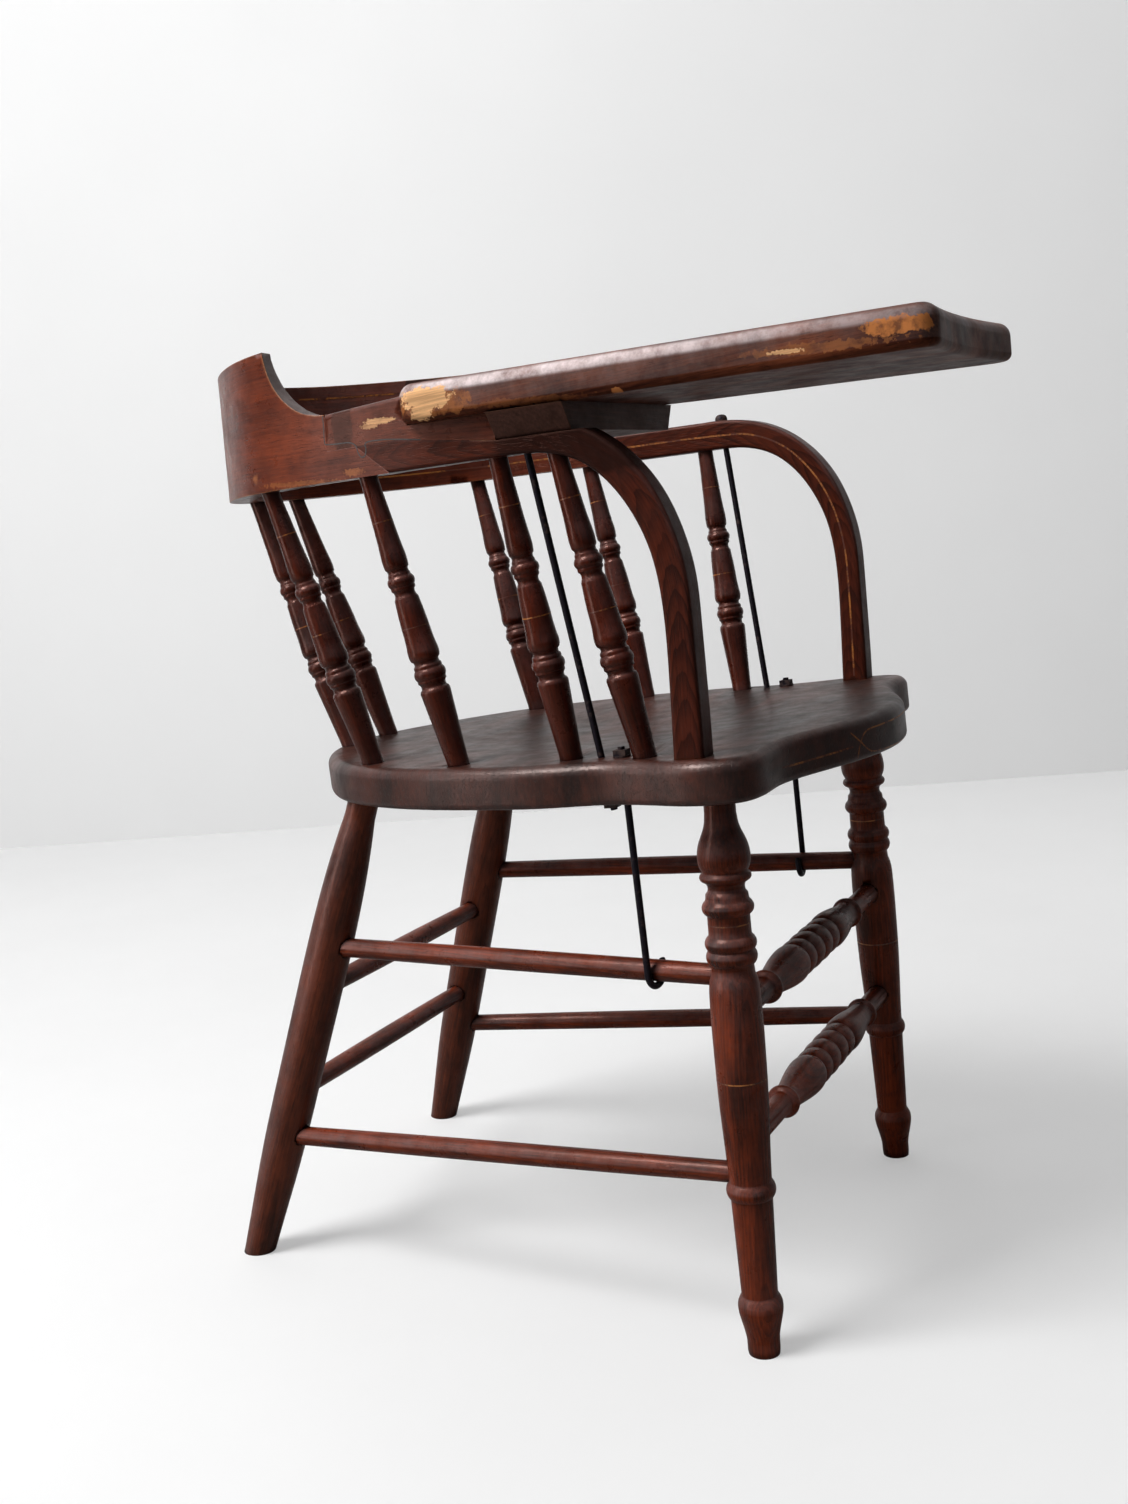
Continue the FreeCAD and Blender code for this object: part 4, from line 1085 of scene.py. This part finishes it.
@dataclass
class ArmsAndCrest:
    """The bent arms, the crest and the filler, with their painted lines."""

    arm_finish: bpy.types.Material
    finish: bpy.types.Material
    filler_finish: bpy.types.Material
    end_finish: bpy.types.Material
    stripe: bpy.types.Material
    joint_dirt: bpy.types.Material
    joint_width: float = 0.0008
    crest_top_thickness: float = 0.0135
    # Name, height over the rail's underside and place along Y where the line begins.
    crest_lines: tuple[tuple[str, float, float], ...] = (
        ("lower", 0.012, 0.16), ("upper", CREST_DEPTH - 0.012, 0.236))
    crest_ends_beyond: float = 0.13
    crest_end_normal: tuple[float, float] = (-0.25, 0.1)
    inner_side: float = 0.03
    # How many points of an arm's middle line have no stripe, at the foot and at the lap.
    stripe_ends: tuple[int, int] = (2, 6)
    inside_arm: float = 0.05
    filler_heart: float = 0.01
    joint_line: tuple[tuple[float, float], ...] = (
        (0.1286, 0.6975), (0.1284, 0.6899), (0.1288, 0.6781), (0.1268, 0.6762), (0.1178, 0.6760),
        (0.1057, 0.6761), (0.0994, 0.6737), (0.0976, 0.6686), (0.0947, 0.6648), (0.0909, 0.6662),
        (0.0898, 0.6708), (0.0904, 0.6740), (0.0848, 0.6757), (0.0673, 0.6757), (0.0405, 0.6735))

    def build(self) -> None:
        """Dresses the rail's pieces and draws the lines on their inner faces."""
        sides = []
        for side in Side:
            line = arm_line(side, 90)
            way = GrainWay(line, plan_across(line), seed=70 + side.value, heart=(0.032, 0.0))
            arm = dressed_copy(f"arm_{side.word}", way, self.arm_finish,
                               crease_deg=14.0)
            self.arm_stripe(side, line, arm)
            sides.append(arm)
        crest = self.crest()
        low, high, _ = box_of("arm_filler")
        x = low.x + self.filler_heart
        way = straight_way(Vector((x, high.y, low.z)), Vector((x, low.y, low.z)), seed=83,
                           heart=(0.05, 0.02))
        filler = dressed_copy("arm_filler", way, self.filler_finish)
        self.crest_stripes(crest)
        self.joint(surface_of(sides[0], crest, filler))

    def crest(self) -> bpy.types.Object:
        """Dresses the crest, thinner towards its top, with dark cut ends."""
        line = plan_line(160, 0.0)
        plan = [moved(p.x, p.y, rail_under(p.y) + CREST_DEPTH / 2) for p in line]
        inward = [(q - p).cross(UP).normalized() for p, q in zip(line, line[1:])]
        way = GrainWay(plan, inward, seed=81, heart=(0.0, 0.0))

        def thinner(points: np.ndarray) -> np.ndarray:
            """Leans the crest's inner face outwards towards its top.

            Args:
                points: the crest's vertices, one row each.

            Returns:
                The vertices, moved.
            """
            offset = way.coordinates(points)[:, 0]
            under = RAIL_UNDER - (points[:, 1] - CHAIR_SHIFT.y) * RAIL_SLOPE
            share = np.clip((points[:, 2] - under - RAIL_DEPTH) / (CREST_DEPTH - RAIL_DEPTH), 0, 1)
            keep = 1.0 - share * (1.0 - self.crest_top_thickness / RAIL_THICKNESS)
            move = (offset + RAIL_THICKNESS / 2) * (keep - 1.0)
            flat = np.array([tuple(p)[:2] for p in plan])
            near = np.argmin(((points[:, None, :2] - flat[None, :-1]) ** 2).sum(2), axis=1)
            toward = np.array([tuple(v) for v in inward])[near]
            return points + toward * move[:, None]

        piece = dressed_copy("crest", way, self.finish, reshape=thinner)
        # The cut ends facing front and up are made near black: painted shade with the end grain's
        # own dark.
        piece.data.materials.append(self.end_finish)
        forward, upward = self.crest_end_normal
        for face in piece.data.polygons:
            if (abs(face.center.x) > self.crest_ends_beyond and face.normal.y < forward
                    and face.normal.z > upward):
                face.material_index = 1
        return piece

    def joint(self, surface: BVHTree) -> None:
        """The dark line where crest, filler and arm meet on the outer face."""
        beside = -0.3
        run = smooth_line([Vector((beside, y, z)) for y, z in self.joint_line], 90)
        ribbon("arm_right_joint_line", surface, [(p, LEFTWARD) for p in run], self.joint_width,
               self.joint_dirt)

    def arm_stripe(self, side: Side, line: list[Vector], arm: bpy.types.Object) -> None:
        """The line along the middle of an arm's inner face."""
        out = LEFTWARD * side.value
        first, last = self.stripe_ends
        ribbon(f"arm_{side.word}_line", surface_of(arm),
               [(p - out * self.inside_arm, out) for p in line[first:-last]], STRIPE_WIDTH,
               self.stripe)

    def crest_stripes(self, crest: bpy.types.Object) -> None:
        """The two lines along the crest's inner face."""
        surface = surface_of(crest)
        plan = plan_line(PLAN_POINTS, self.inner_side)
        for word, rise, first in self.crest_lines:
            rays = [(moved(p.x, p.y, rail_under(p.y) + rise),
                     -(after - before).normalized().cross(UP))
                    for before, p, after in zip(plan, plan[1:], plan[2:]) if p.y >= first]
            ribbon(f"crest_{word}_line", surface, rays, STRIPE_WIDTH, self.stripe)


@dataclass
class Seat:
    """Three boards glued edge to edge, with a painted line on the front edge."""

    finish: bpy.types.Material
    stripe: bpy.types.Material
    board_joints: tuple[float, float] = (0.0261, -0.0979)
    # How far each board's grain rises to its left end, from the rear board on.
    grain_rises: tuple[float, float, float] = (0.0, 0.02, 0.0)
    before_front: float = -0.4
    panel_width: float = STRIPE_WIDTH * 0.8
    panel_upper: tuple[tuple[float, float], ...] = (
        (-0.0712, 0.4175), (-0.0666, 0.4295), (-0.0571, 0.4386), (-0.0359, 0.4400),
        (-0.0101, 0.4402))
    panel_lower: tuple[tuple[float, float], ...] = (
        (-0.0763, 0.4400), (-0.0662, 0.4324), (-0.0534, 0.4230), (-0.0366, 0.4214),
        (-0.0149, 0.4208))
    side_run: tuple[tuple[float, float], ...] = (
        (0.0750, 0.4294), (0.0897, 0.4289), (0.1111, 0.4281), (0.1328, 0.4275), (0.158, 0.4284))

    def build(self) -> None:
        """Dresses the boards, grain across the seat, and draws the line."""
        boards = []
        for number, word in enumerate(("rear", "middle", "front")):
            low, high, middle = box_of(f"seat_board_{word}")
            start = Vector((low.x, middle.y, middle.z - self.grain_rises[number]))
            end = Vector((high.x, middle.y + 0.01, middle.z))
            way = GrainWay([start, end], [UP], seed=90 + number, heart=(0.07, 0.02), stretch=0.3)
            boards.append(dressed_copy(f"seat_board_{word}", way, self.finish))
        for place in self.board_joints:
            shade_across(boards, place)
        self.edge_lines(surface_of(boards[-1]))

    def edge_lines(self, surface: BVHTree) -> None:
        """The panel drawn on the front edge: two lines that cross and run out as one each way."""
        for word, points in (("upper", self.panel_upper), ("lower", self.panel_lower)):
            run = self.run_of(points, 1.0)
            run += [Vector((-p.x, p.y, p.z)) for p in reversed(run)]
            self.draw(surface, word, run, self.panel_width)
        for side in Side:
            self.draw(surface, side.word, self.run_of(self.side_run, -side.value), STRIPE_WIDTH)

    def run_of(self, points: tuple[tuple[float, float], ...], way: float) -> list[Vector]:
        """Points before the front edge, by their X, times way, and height."""
        return [Vector((way * x, self.before_front, z)) for x, z in points]

    def draw(self, surface: BVHTree, word: str, run: list[Vector], width: float) -> None:
        """Lays one line on the front edge, seen straight from the front."""
        ribbon(f"seat_front_{word}_line", surface,
               [(p, REARWARD) for p in smooth_line(run, 60)], width, self.stripe)


@dataclass
class WritingTablet:
    """The tablet and its cleat."""

    finish: bpy.types.Material
    cleat_finish: bpy.types.Material
    heart_offset: float = 0.04

    def build(self) -> None:
        """Dresses the tablet, grain from front to rear, and the cleat, grain across."""
        low, high, middle = box_of("writing_tablet")
        x = middle.x - self.heart_offset
        way = straight_way(Vector((x, high.y, low.z)), Vector((x, low.y, high.z)), seed=101,
                           heart=(0.0, 0.06))
        dressed_copy("writing_tablet", way, self.finish)
        low, high, middle = box_of("tablet_cleat")
        way = straight_way(Vector((low.x, middle.y, middle.z)),
                           Vector((high.x, middle.y, middle.z)), seed=103)
        dressed_copy("tablet_cleat", way, self.cleat_finish)


@dataclass
class IronWork:
    """Tie rods, hooks, nuts and washers."""

    rod: bpy.types.Material
    nut: bpy.types.Material

    def build(self) -> None:
        """Dresses the iron pieces."""
        for side in Side:
            for kind in ("arm_rod", "hook_rod"):
                dressed_copy(f"{kind}_{side.word}", None, self.rod)
        for node in ("seat_nuts", "seat_washers", "cap_nuts"):
            dressed_copy(node, None, self.nut)


@dataclass
class Studio:
    """Pale floor and wall, soft light and the camera at the photograph's angle."""

    camera_place: Place = (-1.26614, -0.57131, 0.63274)
    azimuth_deg: float = -63.91
    elevation_deg: float = 8.93
    roll_deg: float = -4.0
    lens_mm: float = 40.16
    sensor_mm: float = 36.0
    room_strength: float = 0.05
    seen_strength: float = 0.8
    floor_reach: float = 8.0
    wall_way: Place = (0.887, 0.435, 0.0)
    wall_distance: float = 1.9
    wall_reach: float = 6.0
    wall_height: float = 5.0
    # Name, place, target, width and height, and watts.
    lights: tuple[tuple[str, Place, Place, tuple[float, float], float], ...] = (
        ("window", (-1.5, 1.2, 2.9), (0.0, 0.0, 0.45), (1.3, 1.3), 105.0),
        ("side_window", (-1.5, 1.55, 0.75), (0.0, 0.0, 0.45), (0.6, 1.6), 10.0),
        ("ceiling", (0.5, 0.3, 3.4), (0.3, 0.2, 0.0), (5.0, 5.0), 50.0))

    def build(self) -> None:
        """Builds floor, wall, lights, sky and camera."""
        self.room()
        for light in self.lights:
            self.light(*light)
        self.surroundings()
        self.camera()

    def surroundings(self) -> None:
        """Dim room round the chair, whose far ends the camera sees as pale."""
        world = bpy.data.worlds.new("studio room")
        world.use_nodes = True
        g = Graph(world.node_tree)
        seen = g.node("ShaderNodeLightPath").outputs["Is Camera Ray"]
        back = world.node_tree.nodes["Background"]
        g.feed(back.inputs["Color"], (0.95, 0.97, 1.0, 1.0))
        g.feed(back.inputs["Strength"],
               g.span(seen, 0.0, 1.0, self.room_strength, self.seen_strength))
        bpy.context.scene.world = world
        bpy.context.scene.view_settings.view_transform = "Standard"

    def room(self) -> None:
        """The floor and the wall behind the chair."""
        reach = self.floor_reach
        floor = [(x, y, 0.0) for x, y in ((-reach, -reach), (reach, -reach), (reach, reach),
                                          (-reach, reach))]
        away = Vector(self.wall_way).normalized()
        side = Vector((away.y, -away.x, 0.0)) * self.wall_reach
        base, rise = away * self.wall_distance, UP * self.wall_height
        wall = [base - side, base + side, base + side + rise, base - side + rise]
        floor_paint = self.paint("floor paint", bounced=0.3, seen=0.5, glow=0.37)
        wall_paint = self.paint("wall paint", bounced=0.8, seen=0.78, glow=0.25)
        for name, corners, paint in (("floor", floor, floor_paint), ("wall", wall, wall_paint)):
            item = mesh_object(name, corners, [(0, 1, 2, 3)])
            item.data.materials.append(paint)

    def paint(self, name: str, bounced: float, seen: float, glow: float) -> bpy.types.Material:
        """Pale matt paint, with less of its light thrown back on the chair than is seen.

        Args:
            name: the material's name.
            bounced: how pale the chair finds it.
            seen: how pale the camera finds it.
            glow: even light added for the camera alone.

        Returns:
            The material.
        """
        made, g = new_material(name)
        camera = g.node("ShaderNodeLightPath").outputs["Is Camera Ray"]
        scuff = g.span(g.noise(g.object_place(), 2.2, 5.0, 0.6), 0.3, 0.7, 0.97, 1.0)
        tone = g.times(g.span(camera, 0.0, 1.0, bounced, seen), scuff)
        light = g.times(camera, g.times(scuff, glow))
        g.show(g.node("ShaderNodeBsdfPrincipled", None, Base_Color=g.grey(tone),
                      Emission_Color=g.grey(light), Emission_Strength=1.0, Roughness=0.7,
                      Specular_IOR_Level=0.2))
        return made

    def light(self, name: str, place: Place, target: Place, size: tuple[float, float],
              watts: float) -> None:
        """An area light.

        Args:
            name: its name.
            place: where it stands.
            target: the point that it is aimed at.
            size: its width and height.
            watts: its power.
        """
        data = bpy.data.lights.new(name, "AREA")
        data.shape = "RECTANGLE"
        data.size, data.size_y = size
        data.energy = watts
        made = linked(name, data)
        made.location = place
        made.rotation_euler = (Vector(target) - Vector(place)).to_track_quat("-Z", "Y").to_euler()

    def camera(self) -> None:
        """The camera, placed and turned as the photograph's."""
        a, e, r = (math.radians(v) for v in (self.azimuth_deg, self.elevation_deg, self.roll_deg))
        back = Vector((math.sin(a) * math.cos(e), -math.cos(a) * math.cos(e), math.sin(e)))
        right = Vector((math.cos(a), math.sin(a), 0.0))
        up = back.cross(right)
        turned_right = right * math.cos(r) + up * math.sin(r)
        turned_up = up * math.cos(r) - right * math.sin(r)
        data = bpy.data.cameras.new("camera")
        data.lens = self.lens_mm
        data.sensor_fit = "VERTICAL"
        data.sensor_height = self.sensor_mm
        data.clip_start = 0.01
        made = linked("camera", data)
        turn = Matrix((turned_right, turned_up, back)).transposed()
        made.matrix_world = Matrix.Translation(Vector(self.camera_place)) @ turn.to_4x4()
        bpy.context.scene.camera = made


TURNED_FINISH = WoodFinish(
    "turned wood", haze=0.24, dark=(0.016, 0.0035, 0.002, 1.0), light=(0.235, 0.036, 0.0095, 1.0),
    rubbed=(0.22, 0.06, 0.022, 1.0), groove=(0.007, 0.0025, 0.002, 1.0), figure=0.5, cloud=1.0,
    edge_wear=0.22, rim=0.06, dirt=1.0, edge_round=0.0006, wear_reach=0.0036, roughness=0.3,
    shine=0.32, coat=0.08, coat_roughness=0.2)
REAR_LEG_FINISH = WoodFinish(
    "rear leg wood", haze=0.18, dark=(0.018, 0.005, 0.0036, 1.0), light=(0.15, 0.032, 0.013, 1.0),
    rubbed=(0.26, 0.08, 0.032, 1.0), groove=(0.008, 0.004, 0.003, 1.0), figure=0.4, cloud=1.0,
    edge_wear=0.3, rim=0.0, edge_round=0.0006, wear_reach=0.0022, roughness=0.33, shine=0.5)
SPINDLE_FINISH = WoodFinish(
    "spindle wood", haze=0.12, dark=(0.016, 0.0028, 0.0016, 1.0),
    light=(0.098, 0.0135, 0.0045, 1.0), rubbed=(0.25, 0.07, 0.026, 1.0),
    groove=(0.007, 0.0025, 0.002, 1.0), figure=0.35, cloud=0.9, edge_wear=0.18, rim=0.04,
    dirt=1.0, edge_round=0.0005, wear_reach=0.0032, roughness=0.28, shine=0.4, coat=0.13,
    coat_roughness=0.2)
# Its dark patch on the bend under the tablet is the tablet's painted shadow.
ARM_FINISH = WoodFinish(
    "arm wood", haze=0.12, dark=(0.024, 0.0045, 0.003, 1.0), light=(0.105, 0.020, 0.0085, 1.0),
    rubbed=(0.26, 0.085, 0.034, 1.0), groove=(0.007, 0.0025, 0.002, 1.0), rings=560.0,
    drift=0.1, wander=0.007, figure=0.8, cloud=0.5, edge_wear=0.3, rim=0.2, edge_round=0.0022,
    wear_reach=0.003, roughness=0.36, shine=0.2, joint=((None, 0.0, 0.6), (None, None, None)),
    stains=(BarePatch((-0.2165, -0.095, 0.672), (0.03, 0.085, 0.034), 0.5, 0.8, 60.0),))
RAIL_FINISH = WoodFinish(
    "rail wood", haze=0.3, dark=(0.050, 0.0095, 0.005, 1.0), light=(0.19, 0.038, 0.015, 1.0),
    rubbed=(0.42, 0.15, 0.05, 1.0), groove=(0.011, 0.004, 0.003, 1.0), rings=300.0,
    drift=0.03, figure=0.25, cloud=1.0, edge_wear=0.55, rim=0.75, edge_round=0.0011,
    wear_reach=0.0028, roughness=0.3, shine=0.35,
    joint=((None, None, None), (None, 0.1315, 0.697)),
    scuffs=(BarePatch((-0.207, 0.103, 0.6545), (0.02, 0.010, 0.003), 2.4, 0.3, 420.0),
            BarePatch((-0.19, 0.155, 0.6495), (0.03, 0.05, 0.0022), 2.6, 0.22, 360.0)))
# Near-black wood of the crest's cut ends: painted shade with the end grain's own dark.
CREST_END_FINISH = WoodFinish(
    "crest end wood", dark=(0.010, 0.004, 0.003, 1.0), light=(0.035, 0.010, 0.006, 1.0),
    rubbed=(0.10, 0.03, 0.014, 1.0), groove=(0.006, 0.003, 0.0025, 1.0), rings=300.0,
    edge_wear=0.2, rim=0.6, edge_round=0.0015, wear_reach=0.002, roughness=0.35, shine=0.5)
SEAT_FINISH = WoodFinish(
    "seat wood", haze=0.1, dark=(0.012, 0.0045, 0.0033, 1.0), light=(0.07, 0.018, 0.0105, 1.0),
    rubbed=(0.20, 0.07, 0.034, 1.0), groove=(0.009, 0.0045, 0.0035, 1.0), rings=220.0,
    drift=0.02, figure=0.35, cloud=1.5, pores=0.7, edge_wear=0.0, rim=0.0, dirt=0.0,
    edge_round=0.0001, wear_reach=0.003, roughness=0.36, shine=0.5, coat_roughness=0.3,
    gleam=(1.0, 0.78, 0.72, 1.0))
# Its pale film on the upper edge is a painted highlight band, strongest towards the rear.
TABLET_FINISH = WoodFinish(
    "tablet wood", relief=0.28, haze=0.95, film=(0.74, 0.64, 0.64, 1.0),
    film_fade=(-0.30, -0.12), dark=(0.032, 0.008, 0.0045, 1.0), light=(0.16, 0.043, 0.018, 1.0),
    rubbed=(0.40, 0.14, 0.05, 1.0), groove=(0.009, 0.0045, 0.0035, 1.0), rings=180.0,
    drift=0.02, figure=0.3, cloud=1.1, edge_wear=0.35, rim=0.25, edge_round=0.0015,
    wear_reach=0.003, ragged=0.75, roughness=0.42, shine=0.08, coat=0.02, coat_roughness=0.25,
    amber=(0.50, 0.18, 0.055, 1.0),
    patches=(
        BarePatch((-0.2285, 0.0255, 0.7005), (0.012, 0.0215, 0.0085), 1.9, 1.0, 210.0),
        BarePatch((-0.2285, 0.0300, 0.6915), (0.012, 0.009, 0.0065), 1.9, 0.9, 260.0),
        BarePatch((-0.2284, -0.2370, 0.7075), (0.004, 0.012, 0.0016), 2.4, 0.8, 520.0),
    ),
    scuffs=(
        BarePatch((-0.2285, 0.0200, 0.6975), (0.012, 0.030, 0.010), 1.7, 0.45, 160.0),
        BarePatch((-0.2285, -0.3120, 0.7165), (0.014, 0.026, 0.006), 1.7, 1.0, 160.0),
        BarePatch((-0.2285, -0.2600, 0.7080), (0.012, 0.050, 0.0035), 2.6, 0.34, 240.0),
        BarePatch((-0.2262, -0.1195, 0.6934), (0.006, 0.004, 0.0026), 1.0, 0.95, 300.0),
        BarePatch((-0.2275, -0.0500, 0.6925), (0.006, 0.050, 0.0030), 2.4, 0.18, 240.0),
    ))
FILLER_FINISH = WoodFinish(
    "filler wood", dark=(0.03, 0.0065, 0.004, 1.0), light=(0.13, 0.027, 0.012, 1.0),
    rubbed=(0.34, 0.12, 0.045, 1.0), groove=(0.010, 0.004, 0.003, 1.0), rings=300.0,
    drift=0.03, figure=0.3, cloud=0.9, edge_wear=0.15, rim=0.0, edge_round=0.0004,
    wear_reach=0.003, roughness=0.3, shine=0.4,
    patches=(BarePatch((-0.2095, 0.0755, 0.6895), (0.006, 0.016, 0.0022), 2.2, 0.7, 380.0),
             BarePatch((-0.2085, 0.0855, 0.6865), (0.006, 0.008, 0.0022), 2.2, 0.5, 380.0)),
    stains=(BarePatch((-0.207, 0.1110, 0.690), (0.012, 0.0110, 0.03), 1.1, 0.7, 70.0),))
CLEAT_FINISH = WoodFinish(
    "cleat wood", dark=(0.024, 0.011, 0.008, 1.0), light=(0.10, 0.045, 0.033, 1.0),
    rubbed=(0.12, 0.05, 0.026, 1.0), groove=(0.006, 0.003, 0.0025, 1.0), rings=300.0,
    figure=0.3, edge_wear=0.3, rim=0.1, edge_round=0.0008, wear_reach=0.003, roughness=0.5,
    shine=0.35, coat=0.0)


def main() -> None:
    """Builds the chair's looks sub-assembly by sub-assembly, then the studio."""
    logging.basicConfig(level=logging.INFO, format="%(name)s %(message)s")
    stripe = StripePaint().material()
    joint_dirt = StripePaint("joint dirt", (0.010, 0.0045, 0.004, 1.0), (0.07, 0.015, 0.007, 1.0),
                             0.85).material()
    LegsAndStretchers(TURNED_FINISH.material(), REAR_LEG_FINISH.material(), stripe).build()
    Spindles(SPINDLE_FINISH.material(), stripe).build()
    ArmsAndCrest(ARM_FINISH.material(), RAIL_FINISH.material(), FILLER_FINISH.material(),
                 CREST_END_FINISH.material(), stripe, joint_dirt).build()
    Seat(SEAT_FINISH.material(), stripe).build()
    WritingTablet(TABLET_FINISH.material(), CLEAT_FINISH.material()).build()
    IronWork(IronFinish("rod iron", rust_share=0.15).material(),
             IronFinish("nut iron", rust_share=0.7).material()).build()
    Studio().build()


if __name__ == "__main__":
    main()
